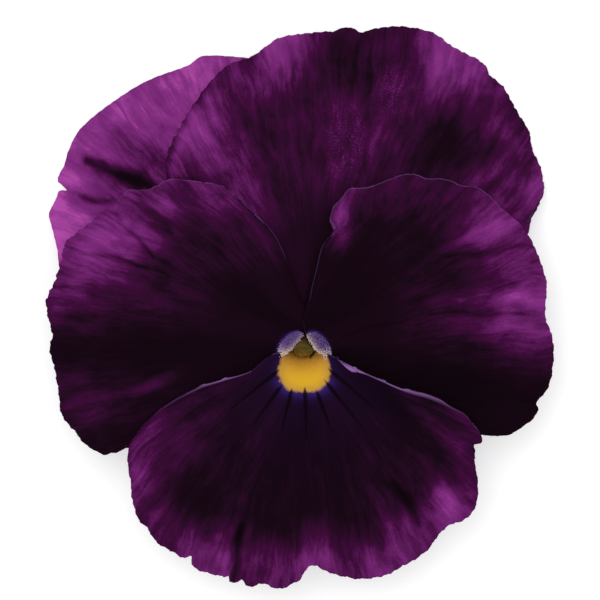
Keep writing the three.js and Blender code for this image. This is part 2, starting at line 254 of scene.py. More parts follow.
def finishSkin(tree, shader, colour, height, depth, gloss, roughness, strength=0.5):
    # the colour, a bump, and a roughness that changes with gloss
    bump = addNode(
        tree, "ShaderNodeBump", None, {"Strength": strength, "Distance": depth * mm, "Height": height},
    )
    tree.links.new(colour, shader.inputs["Base Color"])
    tree.links.new(bump.outputs[0], shader.inputs["Normal"])
    tree.links.new(mapRange(tree, gloss, 0.0, 1.0, *roughness), shader.inputs["Roughness"])


# Steps that the shape trees share

def movePoints(tree, shape, offset):
    return addNode(tree, "GeometryNodeSetPosition", None, {"Geometry": shape, "Offset": offset}).outputs[0]


def finishShape(tree, shape, material):
    smooth = addNode(tree, "GeometryNodeSetShadeSmooth", None, {"Geometry": shape})
    real = addNode(tree, "GeometryNodeRealizeInstances", None, {"Geometry": smooth.outputs[0]})
    coloured = addNode(
        tree, "GeometryNodeSetMaterial", None, {"Geometry": real.outputs[0], "Material": material},
    )
    return coloured.outputs[0]


# Veined sheets: petals, sepals, bracts and stamens

def raiseVeins(tree, given, sheet, vein, normal):
    across = calc(tree, "DIVIDE", vein[0], given["Vein Width"])
    along = calc(tree, "DIVIDE", vein[1], given["Vein Length"])
    place = addNode(tree, "ShaderNodeCombineXYZ", None, {0: across, 1: along, 2: given["Seed"]}).outputs[0]
    relief = calc(tree, "SUBTRACT", noise(tree, place, detail=2.0), 0.5)
    strength = calc(tree, "MULTIPLY", given["Vein Height"], namedFloat(tree, "grow"))
    relief = calc(tree, "MULTIPLY", relief, strength)
    return movePoints(tree, sheet, scaleVector(tree, normal, relief))


def ruffleRim(tree, given, sheet, vein):
    run = calc(tree, "DIVIDE", vein[0], given["Ruffle Length"])
    wave = addNode(tree, "ShaderNodeCombineXYZ", None, {0: run, 1: given["Seed"]}).outputs[0]
    wave = calc(tree, "SUBTRACT", noise(tree, wave, detail=1.0), 0.5)
    wave = calc(tree, "MULTIPLY", wave, 5.0)  # the noise keeps within about a fifth of its middle
    up = calc(tree, "MULTIPLY", calc(tree, "MAXIMUM", wave, 0.0), namedFloat(tree, "lift"))
    down = calc(tree, "MULTIPLY", calc(tree, "MINIMUM", wave, 0.0), namedFloat(tree, "drop"))
    rise = addNode(tree, "ShaderNodeCombineXYZ", None, {2: calc(tree, "ADD", up, down)}).outputs[0]
    return movePoints(tree, sheet, rise)


def restOnFloor(tree, given, sheet):
    # no point lies lower than Lowest, and -1 m leaves the two other directions alone
    spot = tree.nodes.new("GeometryNodeInputPosition").outputs[0]
    limit = addNode(tree, "ShaderNodeCombineXYZ", None, {0: -1.0, 1: -1.0, 2: given["Lowest"]}).outputs[0]
    rested = addNode(
        tree, "GeometryNodeSetPosition", None,
        {"Geometry": sheet, "Position": calcVector(tree, "MAXIMUM", spot, limit)},
    )
    return rested.outputs[0]


def thicken(tree, given, sheet, normal):
    # half the thickness lies on each side of the sheet, and the second output picks the back's faces
    half = calc(tree, "MULTIPLY", given["Thickness"], -0.5)
    under = movePoints(tree, sheet, scaleVector(tree, normal, half))
    raised = addNode(
        tree, "GeometryNodeExtrudeMesh", {"mode": "FACES"},
        {"Mesh": under, "Offset Scale": given["Thickness"], "Individual": False},
    )
    turned = addNode(tree, "GeometryNodeFlipFaces", None, {"Mesh": under})
    marked = addNode(tree, "GeometryNodeCaptureAttribute", {"domain": "FACE"})
    marked.capture_items.new("BOOLEAN", "Back")
    marked.inputs[1].default_value = True
    tree.links.new(turned.outputs[0], marked.inputs[0])
    both = tree.nodes.new("GeometryNodeJoinGeometry")
    tree.links.new(marked.outputs[0], both.inputs[0])
    tree.links.new(raised.outputs[0], both.inputs[0])
    merged = addNode(
        tree, "GeometryNodeMergeByDistance", None, {"Geometry": both.outputs[0], "Distance": seam},
    )
    return merged.outputs[0], marked.outputs[1]


def veinedSheetTree():
    # A grid gets veins and a ruffled rim, and then its thickness. The grid brings four attributes: vein is
    # the place across and along the sheet, grow is how strong the veins are, and lift and drop are how far
    # the rim may rise and sink.
    tree, given, result = shapeTree("veinedSheet", {
        "Thickness": "Float", "Vein Width": "Float", "Vein Length": "Float", "Vein Height": "Float",
        "Ruffle Length": "Float", "Lowest": "Float", "Seed": "Float", "Face": "Material", "Back": "Material",
    })
    vein = addNode(tree, "ShaderNodeSeparateXYZ", None, {0: namedVector(tree, "vein")}).outputs
    normal = tree.nodes.new("GeometryNodeInputNormal").outputs[0]
    sheet = raiseVeins(tree, given, given["Geometry"], vein, normal)
    sheet = ruffleRim(tree, given, sheet, vein)
    sheet = restOnFloor(tree, given, sheet)
    # with a material on both halves, joining them adds no empty slot
    skinned = addNode(tree, "GeometryNodeSetMaterial", None, {"Geometry": sheet, "Material": given["Face"]})
    shell, isBack = thicken(tree, given, skinned.outputs[0], normal)
    faced = finishShape(tree, shell, given["Face"])
    backed = addNode(
        tree, "GeometryNodeSetMaterial", None,
        {"Geometry": faced, "Selection": isBack, "Material": given["Back"]},
    )
    tree.links.new(backed.outputs[0], result[0])
    return tree


veinedSheet = veinedSheetTree()


def sheetPiece(name, points, attributes, turned, form, seed, face, back):
    piece = meshObject(name, points, gridFaces(*points.shape[:2], turned), attributes)
    return runTree(piece, veinedSheet, {
        "Thickness": form["thickness"] * mm,
        "Vein Width": form["veinWidth"] * mm,
        "Vein Length": form["veinLength"] * mm,
        "Vein Height": form["veinHeight"] * mm,
        "Ruffle Length": form["ruffleLength"] * mm,
        "Lowest": form["lowest"] * mm,
        "Seed": float(seed),
        "Face": face,
        "Back": back,
    })


def scaleAttributes(across, along, grow=1.0, **others):
    # attributes of a sheet without ruffles, from the places across and along it in millimetres
    full = np.ones(np.broadcast(across, along).shape)
    return {
        "vein": np.dstack([across * full * mm, along * full * mm, 0 * full]),
        "grow": grow * full,
        "lift": 0 * full,
        "drop": 0 * full,
        **{key: values * full for key, values in others.items()},
    }


def facesUp(points):
    along = points[-1] - points[len(points) // 2]
    across = points[-2, 2:] - points[-2, :-2]
    return np.median(along[1:-1, 0] * across[:, 1] - along[1:-1, 1] * across[:, 0]) < 0


# Petals

bloom = {
    "heart": (0.3, -0.8),  # axis of the ovary
    "throat": (0.3, -4.3),
    "spurAxis": (0.3, -5.0),
    "clawRing": 2.45,
    "clawFoot": 5.0,
    "clawWidth": 1.7,
    "gutterFoot": 4.85,
    "gutterRadius": 1.05,  # of the foot, inside the spur's wall
    "gutterBearings": (185, 355),
    "gutter": ((0.3, -4.6), 2.3, 2.4, 2.9),  # middle, half sizes across and along, depth
    "fallReach": 30,
    "fallPower": 1.6,
    "sideFall": 5.6,
    "topFall": 9.2,
    "topFrom": (0.1, 0.65),  # how far upwards a direction points where the top's fall sets in, and is full
    "throatDip": 0.3,  # of the side petals, within throatReach
    "throatReach": 2.0,
    "sideOver": 0.3,  # how far the right side petal rises over the left one
    "sideOverAcross": (0.6, 1.8),
    "sideOverAlong": (-5, -1),
    "topOver": 0.85,  # how far the upper right petal lies over the upper left one
    "topOverAcross": (3, 7),
}

petalForm = {
    "columns": 270,
    "bladeRows": 100,
    "clawRows": 10,
    "thickness": 0.24,
    "veinWidth": 1.1,
    "veinLength": 11,
    "veinHeight": 0.34,
    "ruffleLength": 4.5,
    "ruffleLift": 0.75,
    "ruffleBand": (0.62, 1.0),  # how far out the ruffles set in
    "ruffleFade": 0.08,  # of the rim, at the ends of the ruffled part
    "hangFade": 0.06,
    "heartBand": (0.25, 0.6),  # how far out the tone of the heart ends
    "toothLength": 1.3,
    "toothFade": 0.03,  # of the rim, at its two ends
    "toothPower": 10,  # keeps teeth and nicks close to the rim
    "rowPower": 1.5,  # draws the rows together at the claw
    "rimStep": 0.003,  # the last row and column are this close to the edge
    "creaseDepth": 0.5,  # of the darkest crease
    "lowest": 0.14,  # where a petal lies on the floor, its middle is this high
}

petals = {
    "upper_left_petal": {
        "slot": "pale_petal",
        "level": 8.9,
        "firstSide": [(0.6, 1.5), (2.2, 6.5)],
        "rim": [
            (2.5, 13.3), (1.3, 21.2), (-1.2, 26.0), (-4.4, 28.0), (-7.2, 28.5), (-11.1, 28.6), (-12.9, 27.5),
            (-17.2, 25.9), (-20.9, 23.7), (-24.9, 20.5), (-26.4, 17.9), (-26.9, 16.2), (-27.6, 14.8),
            (-27.5, 13.4), (-28.0, 11.9), (-28.6, 10.6), (-28.2, 8.9), (-27.6, 6.5), (-27.1, 4.2),
            (-23.9, 0.8),
        ],
        "nicks": [((-27.5, 13.8), 0.35, 1.1)],  # in the rim: place, half width, depth
        "lastSide": [(-1.8, 0.2), (-6.9, 0.5), (-15.9, 0.2)],
        "lipMiddle": (-1.0, 1.0),
        "claw": (123, 1),  # bearing of its foot on the ring, and which way round the foot runs
        "ruffles": (0.42, 0.97),  # shares of the rim that are ruffled
        "hangs": None,  # shares of the rim with nothing close below
        "teeth": [(0, 0.02), (1, 0.02)],  # share of the rim and how far its small teeth stand out
        "rays": [  # share of the rim, and the tones near the heart, half way out and at the rim
            (0.0, 0.1, 0.6, 0.75), (0.33, 0.1, 0.75, 0.86), (0.4, 0.1, 0.8, 0.95), (0.5, 0.1, 0.76, 0.84),
            (0.56, 0.1, 0.7, 0.82), (0.64, 0.1, 0.68, 0.86), (0.72, 0.1, 0.66, 0.84),
            (0.79, 0.1, 0.74, 0.95),
            (0.88, 0.1, 0.78, 0.98), (1.0, 0.1, 0.65, 0.8),
        ],
        "rimBand": (0.7, 0.95),  # how far out the rim's tone sets in
        "flares": [  # lighter and darker patches, partly the petal's own colour and partly painted light and shade: place, half length away from the heart, half width, change of tone
            ((-20.9, 18.9), 2.8, 1.7, -0.17), ((-15.9, 17.0), 2.4, 1.6, -0.2),
            ((-19.0, 13.8), 2.6, 0.8, -0.15),
            ((-24.3, 12.0), 2.2, 1.0, -0.14),
        ],
        "creases": [  # folds, with painted shade in them: from, to, half width, how dark
            ((-24.3, 16.5), (-16.0, 13.3), 1.1, 0.58), ((-24.8, 12.5), (-20.6, 11.8), 0.5, 0.25),
        ],
        "paleEdge": None,
        "seed": 3.0,
    },
    "upper_right_petal": {
        "slot": "dark_petal",
        "level": 9.75,
        "firstSide": [(-0.6, 0.9), (-5.0, 5.6), (-11.4, 9.4)],
        "rim": [
            (-14.6, 12.1), (-15.3, 15.9), (-15.0, 17.6), (-14.1, 19.6), (-12.0, 23.2), (-10.3, 25.5),
            (-8.3, 27.5), (-5.8, 28.4), (-4.4, 29.3), (-2.2, 30.7), (1.9, 31.3), (3.7, 31.4), (5.4, 31.9),
            (7.0, 31.3), (8.3, 31.7), (11.3, 32.0), (14.4, 31.5), (15.9, 30.8), (17.0, 29.9), (18.6, 29.0),
            (20.7, 27.9), (21.7, 26.3), (23.1, 25.1), (24.4, 22.8), (25.3, 21.3), (25.9, 20.4), (26.2, 19.3),
            (26.4, 18.0), (26.9, 16.9), (27.4, 15.8), (27.6, 14.4), (27.7, 13.1), (27.2, 11.8), (26.3, 10.2),
            (25.9, 8.4),
        ],
        "lastSide": [(2.3, 0.2), (6.8, 0.5), (14.7, 1.4), (22.7, 4.6)],
        "lipMiddle": (0.6, -1.3),
        "claw": (57, -1),
        "ruffles": (0.02, 0.95),
        "hangs": None,
        "teeth": [(0, 0.11), (0.13, 0.11), (0.2, 0.05), (0.6, 0.05), (0.7, 0.07), (1, 0.05)],
        "rimShade": (0.2, 0.3, 0.3),  # painted shade along the rim up to this share: its width and how dark
        "rays": [
            (0.0, 0.1, 0.28, 0.45), (0.09, 0.15, 0.35, 0.55), (0.15, 0.2, 0.46, 0.7),
            (0.21, 0.22, 0.46, 0.55),
            (0.27, 0.15, 0.24, 0.5), (0.32, 0.15, 0.29, 0.82), (0.38, 0.15, 0.27, 0.64),
            (0.44, 0.1, 0.36, 0.34),
            (0.5, 0.1, 0.38, 0.3), (0.575, 0.1, 0.36, 0.38), (0.62, 0.1, 0.28, 0.86), (0.67, 0.1, 0.2, 0.7),
            (0.73, 0.1, 0.25, 0.45), (0.79, 0.1, 0.22, 0.5), (0.9, 0.1, 0.34, 0.55), (1.0, 0.1, 0.3, 0.55),
        ],
        "rimBand": (0.76, 0.97),
        "flares": [
            ((-11.1, 19.0), 4.5, 1.9, 0.12), ((-6.0, 9.6), 2.8, 1.3, 0.24), ((-12.8, 12.9), 1.6, 1.4, -0.2),
            ((4.9, 27.3), 3.0, 3.2, -0.16), ((17.5, 19.0), 3.9, 2.4, -0.12), ((20.6, 19.4), 2.6, 0.8, 0.12),
            ((21.1, 15.2), 3.2, 1.1, 0.2), ((22.3, 12.2), 3.0, 1.0, 0.16), ((25.4, 16.8), 1.4, 1.0, -0.15),
            ((24.9, 21.8), 1.6, 2.0, -0.2), ((-5.4, 27.4), 2.0, 1.4, -0.2),
        ],
        "stipple": [((10.3, 25.0), 2.2, 4.4), ((5.1, 18.4), 2.9, 4.4)],  # places strewn with bright dots
        "creases": [((8.1, 29.4), (7.3, 14.8), 0.4, 0.1)],
        "paleEdge": None,
        "seed": 11.0,
    },
    "left_side_petal": {
        "slot": "dark_petal",
        "level": 10.55,
        "firstSide": [(0.85, -1.4), (0.5, 0.0), (-0.3, 1.4), (-1.5, 5.2), (-3.1, 8.4), (-5.3, 10.6)],
        "rim": [
            (-6.9, 12.2), (-8.6, 13.5), (-10.3, 14.0), (-13.3, 14.4), (-15.0, 14.4), (-16.1, 13.8),
            (-17.5, 13.3), (-19.7, 13.1), (-21.0, 11.6), (-22.4, 10.8), (-23.9, 9.5), (-25.4, 8.4),
            (-26.7, 7.2), (-26.9, 6.1), (-27.2, 4.9), (-27.8, 3.0), (-28.8, 0.8), (-28.6, -1.0),
            (-28.1, -3.2), (-28.4, -4.8), (-27.9, -6.8), (-27.4, -9.6), (-27.1, -12.0), (-26.2, -13.4),
            (-25.4, -14.2), (-25.0, -14.9), (-24.0, -15.8), (-22.8, -16.5), (-22.0, -16.7), (-21.1, -16.33),
            (-20.2, -15.97), (-19.0, -15.75), (-12.5, -13.6),
        ],
        "lastSide": [(-2.4, -5.4), (-6.9, -10.0)],
        "lipMiddle": (-0.3, -4.5),
        "claw": (186, 1),
        "ruffles": (0.0, 0.82),
        "hangs": (0.47, 0.8),
        "teeth": [(0, 0.03), (0.2, 0.05), (0.35, 0.1), (0.6, 0.06), (1, 0.04)],
        "rays": [
            (0.0, 0.02, 0.2, 0.44), (0.06, 0.08, 0.3, 0.55), (0.13, 0.1, 0.23, 0.55),
            (0.2, 0.09, 0.18, 0.42),
            (0.26, 0.03, 0.18, 0.54), (0.32, 0.03, 0.18, 0.56), (0.39, 0.08, 0.2, 0.66),
            (0.45, 0.1, 0.22, 0.5), (0.51, 0.1, 0.16, 0.42), (0.56, 0.06, 0.06, 0.1),
            (0.61, 0.04, 0.04, 0.1), (0.66, 0.04, 0.07, 0.2), (0.7, 0.03, 0.14, 0.3),
            (0.77, 0.05, 0.12, 0.12),
            (1.0, 0.05, 0.1, 0.1),
        ],
        "rimBand": (0.6, 0.93),
        "flares": [
            ((-22.0, 7.0), 3.6, 1.6, 0.18), ((-18.3, 8.6), 3.0, 0.9, 0.22), ((-12.6, 12.6), 1.6, 1.4, -0.16),
            ((-22.7, 1.8), 2.6, 0.8, -0.14), ((-24.6, -0.8), 3.0, 0.8, -0.1), ((-26.0, 3.0), 1.6, 0.8, 0.14),
            ((-16.3, -8.5), 2.5, 0.6, 0.2), ((-23.7, -12.0), 2.5, 1.0, 0.12),
            ((-15.6, 11.6), 2.0, 0.9, 0.15),
        ],
        "creases": [
            ((-20.9, 10.6), (-16.8, 5.6), 0.42, 0.22), ((-18.3, 12.9), (-14.6, 8.2), 0.6, 0.18),
            ((-26.9, 6.8), (-17.1, 4.5), 0.3, 0.2),
        ],
        "paleEdge": {  # a fine pale line of painted highlight where the edge catches the light, and how strong it is at places across the petal
            "above": 5.0, "halfWidth": 0.03,
            "strength": [
                (-21, 0), (-19.5, 0.25), (-12, 0.4), (-6, 0.35), (-3, 0.15), (-1.5, 0.1), (-0.5, 0),
            ],
        },
        "beard": {
            "centre": (-1.25, -4.1), "bearing": 226, "outside": 1, "halfLength": 1.8, "halfWidth": 1.0,
        },
        "seed": 5.0,
    },
    "right_side_petal": {
        "slot": "dark_petal",
        "level": 10.55,
        "firstSide": [
            (0.3, -1.4), (0.6, 0.0), (1.0, 0.9), (1.4, 2.7), (1.85, 4.6), (2.3, 6.5), (2.8, 7.4), (3.4, 8.0),
            (3.8, 8.5), (3.5, 9.3), (3.3, 9.9),
        ],
        "rim": [
            (3.7, 11.4), (4.5, 12.1), (5.6, 13.4), (7.0, 13.4), (9.0, 14.0), (11.7, 15.0), (13.4, 14.9),
            (14.3, 14.5), (16.4, 14.5), (18.5, 13.7), (19.6, 13.7), (21.1, 12.9), (23.0, 11.0), (24.9, 9.4),
            (25.9, 8.0), (26.8, 6.1), (27.5, 4.2), (27.9, 2.3), (27.7, -0.9), (28.4, -3.0), (28.7, -5.0),
            (28.5, -7.4), (28.0, -9.2), (27.3, -10.1), (26.7, -10.9), (26.9, -11.6), (26.3, -12.7),
            (24.9, -13.7),
            (23.8, -14.4), (22.2, -14.6), (20.5, -14.5), (15.8, -14.4), (9.6, -12.8),
        ],
        "lastSide": [(3.3, -5.6), (5.1, -8.9)],
        "lipMiddle": (0.35, -4.5),
        "claw": (-6, -1),
        "ruffles": (0.0, 0.77),
        "hangs": (0.46, 0.75),
        "teeth": [(0, 0.03), (0.3, 0.03), (0.6, 0.05), (1, 0.03)],
        "rays": [
            (0.0, 0.03, 0.06, 0.3), (0.04, 0.08, 0.13, 0.45), (0.1, 0.05, 0.15, 0.32),
            (0.17, 0.04, 0.09, 0.3),
            (0.24, 0.03, 0.12, 0.27), (0.3, 0.03, 0.11, 0.5), (0.37, 0.05, 0.18, 0.6),
            (0.43, 0.09, 0.17, 0.46),
            (0.5, 0.08, 0.25, 0.74), (0.57, 0.08, 0.22, 0.62), (0.61, 0.04, 0.12, 0.38),
            (0.65, 0.01, 0.03, 0.16),
            (0.69, 0.0, 0.0, 0.05), (1.0, 0.0, 0.0, 0.05),
        ],
        "rimBand": (0.64, 0.93),
        "flares": [
            ((4.5, 9.8), 2.0, 0.9, 0.36), ((4.9, 8.2), 1.6, 0.6, 0.2), ((22.0, 8.8), 3.4, 1.3, 0.18),
            ((19.6, -1.7), 4.2, 0.8, 0.17), ((25.0, -4.6), 2.2, 0.7, 0.12), ((26.2, -1.8), 2.0, 1.0, -0.12),
            ((24.7, 6.0), 2.4, 0.7, 0.14), ((25.4, 2.7), 1.8, 0.7, -0.1), ((21.0, 0.9), 4.2, 0.8, 0.18),
        ],
        "creases": [
            ((16.5, 5.6), (26.5, 7.0), 0.5, 0.15), ((4.6, -3.3), (14.9, -0.6), 0.2, 0.06),
            ((14.9, -0.6), (25.6, -0.9), 0.3, 0.15),
        ],
        "paleEdge": {
            "above": 0.0, "halfWidth": 0.03,
            "strength": [(0.8, 0), (1.3, 0.12), (3, 0.15), (4.5, 0.4), (12, 0.4), (21, 0.35), (24, 0)],
        },
        "beard": {
            "centre": (2.05, -4.2), "bearing": -52, "outside": -1, "halfLength": 1.85, "halfWidth": 1.08,
        },
        "seed": 8.0,
    },
    "lower_petal": {
        "slot": "dark_petal",
        "level": 11.4,
        "firstSide": [(-2.4, -5.3), (-3.7, -5.6), (-5.8, -7.3), (-11.3, -9.0), (-15.4, -11.2)],
        "rim": [
            (-17.9, -13.5), (-19.3, -15.6), (-19.5, -17.8), (-19.2, -19.7), (-19.1, -21.4), (-18.4, -23.9),
            (-17.3, -25.1), (-16.4, -26.5), (-15.4, -27.2), (-14.1, -27.9), (-13.4, -28.4), (-12.6, -28.4),
            (-12.0, -29.5), (-10.6, -30.1), (-9.0, -30.5), (-7.6, -31.3), (-6.6, -30.9), (-5.8, -31.7),
            (-4.3, -31.3), (-2.5, -31.9), (-1.0, -31.4), (0.0, -30.8), (0.7, -29.6), (1.6, -29.2),
            (2.8, -29.8), (4.7, -30.5), (6.9, -30.8), (9.5, -30.4), (11.4, -29.4), (13.1, -28.5),
            (14.6, -27.3), (15.5, -26.0), (16.8, -24.7), (18.3, -24.2), (19.6, -23.0), (20.1, -20.8),
            (19.7, -16.8), (20.5, -14.7), (18.5, -12.0),
        ],
        "nicks": [((-8.3, -30.9), 0.22, 0.6), ((-12.5, -28.5), 0.25, 0.4), ((20.1, -15.9), 0.3, 0.65)],
        "lastSide": [(3.3, -5.5), (5.1, -6.35), (7.6, -7.6), (11.6, -9.3), (14.9, -10.3)],
        "lipMiddle": (0.45, -3.4),
        "claw": None,  # its foot stands in the spur's wall
        "ruffles": (0.0, 1.0),
        "hangs": (0.06, 0.93),
        "teeth": [(0, 0.03), (0.2, 0.06), (0.6, 0.06), (1, 0.05)],
        "rays": [
            (0.0, 0.2, 0.25, 0.2), (0.06, 0.15, 0.2, 0.4), (0.1, 0.12, 0.22, 0.55), (0.15, 0.1, 0.27, 0.4),
            (0.2, 0.12, 0.13, 0.36), (0.27, 0.12, 0.12, 0.6), (0.33, 0.14, 0.16, 0.66),
            (0.4, 0.1, 0.1, 0.48),
            (0.5, 0.06, 0.1, 0.52), (0.6, 0.1, 0.1, 0.52), (0.69, 0.12, 0.15, 0.6), (0.73, 0.1, 0.12, 0.5),
            (0.79, 0.1, 0.14, 0.66), (0.85, 0.06, 0.1, 0.36), (0.91, 0.04, 0.12, 0.3),
            (1.0, 0.04, 0.2, 0.35),
        ],
        "rimBand": (0.74, 0.96),
        "flares": [
            ((-15.8, -15.1), 2.7, 2.6, 0.14), ((-12.5, -24.2), 3.0, 2.2, -0.1),
            ((1.6, -28.4), 1.4, 2.0, 0.14),
            ((10.9, -24.6), 3.2, 1.4, 0.16), ((16.0, -20.9), 3.2, 2.2, 0.14),
            ((16.3, -14.6), 3.9, 0.7, 0.2), ((11.3, -11.2), 2.4, 1.2, -0.08),
        ],
        "creases": [
            ((-6.7, -24.6), (-7.6, -31.2), 0.7, 0.32), ((10.6, -19.8), (13.6, -24.7), 0.55, 0.2),
        ],
        "paleEdge": {
            "above": -14.5, "halfWidth": 0.01,
            "strength": [
                (-18, 0.2), (-13, 0.4), (-9, 0.8), (-6, 0.8), (-4.4, 0), (4, 0), (4.6, 0.5), (5.2, 1),
                (6.5, 1),
                (8, 0.9), (15, 0.8), (19, 0.4),
            ],
            "lens": (5.8, 1.05, 0.42),  # where it widens on the right, as the curled margin shows the paler underside: middle, half length, extra width
        },
        "curl": {  # its sides curl up over the side petals, between these places down the petal
            "height": 0.3, "width": 0.5, "lower": (-13, -9), "upper": (4.8, 6.5),
        },
        "seed": 14.0,
    },
}

eye = {
    "centre": (0.45, -6.8),
    "halfWidth": 3.0,
    "halfHeight": 2.8,
    "topWidth": 0.92,  # share of the width at its top
    "topFade": (5.4, 7.4),
    "squareness": 2.6,
    "haloWidth": 0.6,
    "halo": 0.85,  # how violet it is below the eye
    "haloAbove": 0.2,  # share of that beside and above the eye
    "haloFade": (7.2, 8.9),
    "haze": 0.09,  # a faint violet round it, and how far it spreads
    "hazeWidth": 4,
    "guides": [  # tips and ends of the dark guide lines
        ((-2.45, -7.1), (-8.0, -11.6)), ((-2.0, -8.65), (-5.6, -13.6)), ((-0.95, -9.2), (-2.2, -14.2)),
        ((0.5, -9.0), (0.7, -15.0)), ((1.8, -9.45), (3.7, -14.4)), ((2.7, -8.2), (7.0, -13.6)),
        ((3.1, -6.9), (8.6, -11.6)),
    ],
    "guideHalfWidth": 0.27,
    "hook": ((1.75, -5.0), (1.15, -5.75)),  # a short dark mark beside the stigma
    "hookHalfWidth": 0.09,
}

beardGround = {  # the petal under a beard: how violet and how pale, and where that fades from and to
    "violet": 0.6,
    "violetFade": (0.9, 1.15),
    "pale": 0.6,
    "paleFade": (0.7, 1),
    "paleSide": (-0.6, 0.5),
}


def faceFall(x, y):
    dx = x - bloom["heart"][0]
    dy = y - bloom["heart"][1]
    reach = np.hypot(dx, dy) + 1e-6  # never quite zero
    rimFall = lerp(bloom["sideFall"], bloom["topFall"], smoothstep(dy / reach, *bloom["topFrom"]))
    return rimFall * (reach / bloom["fallReach"]) ** bloom["fallPower"]


def hill(x, y, centre, halfX, halfY):
    return np.exp(-(((x - centre[0]) / halfX) ** 2) - ((y - centre[1]) / halfY) ** 2)


def petalHeight(name, x, y):
    # the petal's level less the fall of the face, with what is its own
    z = petals[name]["level"] - faceFall(x, y)
    if name == "lower_petal":
        centre, halfX, halfY, depth = bloom["gutter"]
        return z - depth * hill(x, y, centre, halfX, halfY)
    if name.endswith("side_petal"):
        reach = bloom["throatReach"]
        z = z - bloom["throatDip"] * hill(x, y, bloom["throat"], reach, reach)
    if name == "right_side_petal":
        window = (1 - smoothstep(x, *bloom["sideOverAcross"])) * smoothstep(-y, *bloom["sideOverAlong"])
        z = z + bloom["sideOver"] * window
    if name.endswith("side_petal"):
        return z
    lowest = petalForm["lowest"]
    if name == "upper_right_petal":  # it lies on the upper left petal as far as that reaches
        lowest = lowest + bloom["topOver"] * (1 - smoothstep(x, *bloom["topOverAcross"]))
    return np.maximum(z, lowest)


def rimTeeth(shape, u, rim, rimLength):
    # how far small uneven teeth stand out of the rim, less the depth of its nicks
    s = u * rimLength / petalForm["toothLength"]
    tooth = np.sin(2 * math.pi * s + 2 * np.sin(0.9 * s)) + 0.6 * np.sin(4.3 * math.pi * s + 1)
    ends = smoothstep(u, 0, petalForm["toothFade"]) * smoothstep(1 - u, 0, petalForm["toothFade"])
    height = np.interp(u, *zip(*shape["teeth"])) * tooth * ends
    for place, halfWidth, cut in shape.get("nicks", []):
        height = height - cut * np.exp(-((np.linalg.norm(rim - place, axis=1) / halfWidth) ** 2))
    return height


def petalPlan(shape, u, v):
    # u runs from the first side to the last, and v from the claw to the rim
    first, _ = smoothLine([*shape["firstSide"], shape["rim"][0]])
    last, _ = smoothLine([*shape["lastSide"], shape["rim"][-1]])
    rimLine, rimLength = smoothLine(shape["rim"])
    ends = [np.array(shape[side][0]) for side in ("firstSide", "lastSide")]
    columns = u[:, None]
    lip = (1 - columns) ** 2 * ends[0] + columns**2 * ends[1]
    lip = lip + 2 * columns * (1 - columns) * shape["lipMiddle"]
    rim = rimLine(u)
    across = u[None, :, None]
    out = v[:, None, None]
    between = lerp(first(v)[:, None], last(v)[:, None], across)
    outward = lerp(lip[None], rim[None], out)
    corners = lerp(lerp(lip[0], rim[0], out), lerp(lip[-1], rim[-1], out), across)
    plan = between + outward - corners
    ray = rim - lip
    ray = ray / np.linalg.norm(ray, axis=1, keepdims=True)
    teeth = rimTeeth(shape, u, rim, rimLength)
    plan += teeth[None, :, None] * ray[None] * out ** petalForm["toothPower"]
    return plan, rimLength


def petalFoot(shape, u):
    # where the claw stands: in the spur's wall, or straight on the receptacle
    if shape["claw"] is None:
        angle = np.radians(lerp(*bloom["gutterBearings"], u))
        radius = bloom["gutterRadius"]
        x = bloom["spurAxis"][0] + radius * np.cos(angle)
        y = bloom["spurAxis"][1] + radius * np.sin(angle)
        return np.stack([x, y, np.full_like(u, bloom["gutterFoot"])], -1)
    bearing, turn = shape["claw"]
    angle = math.radians(bearing)
    across = turn * (u - 0.5) * bloom["clawWidth"]
    x = bloom["heart"][0] + bloom["clawRing"] * math.cos(angle) - across * math.sin(angle)
    y = bloom["heart"][1] + bloom["clawRing"] * math.sin(angle) + across * math.cos(angle)
    return np.stack([x, y, np.full_like(u, bloom["clawFoot"])], -1)


def edgeDistance(x, y):
    # distance to the rim and to the two sides, along the sheet's own rows and columns
    out = np.hypot(x - x[-1:], y - y[-1:])
    first = np.hypot(x - x[:, :1], y - y[:, :1])
    last = np.hypot(x - x[:, -1:], y - y[:, -1:])
    return np.minimum.reduce([out, first, last])


def flare(x, y, place, along, across):
    # an oval with an even middle and a soft edge, drawn out along the line from the heart
    out = np.subtract(place, bloom["heart"])
    out = out / np.linalg.norm(out)
    dx = x - place[0]
    dy = y - place[1]
    a = (dx * out[0] + dy * out[1]) / along
    b = (dy * out[0] - dx * out[1]) / across
    return np.exp(-((a * a + b * b) ** 1.3) / 1.6)


def crease(x, y, start, end, halfWidth, wander=0.18):
    # a fold that swells and wanders a little along its length
    bentX = x + wander * np.sin(1.1 * y + start[0])
    bentY = y + wander * np.sin(x + start[1])
    distance, share = segmentDistance(bentX, bentY, start, end)
    swell = np.sin(math.pi * np.clip(share, 0.02, 0.98)) ** 0.8
    swell = swell * (1 + 0.25 * np.sin(9 * share + start[0]) + 0.15 * np.sin(23 * share + start[1]))
    return np.exp(-((distance / (halfWidth * lerp(0.35, 1, swell))) ** 2))


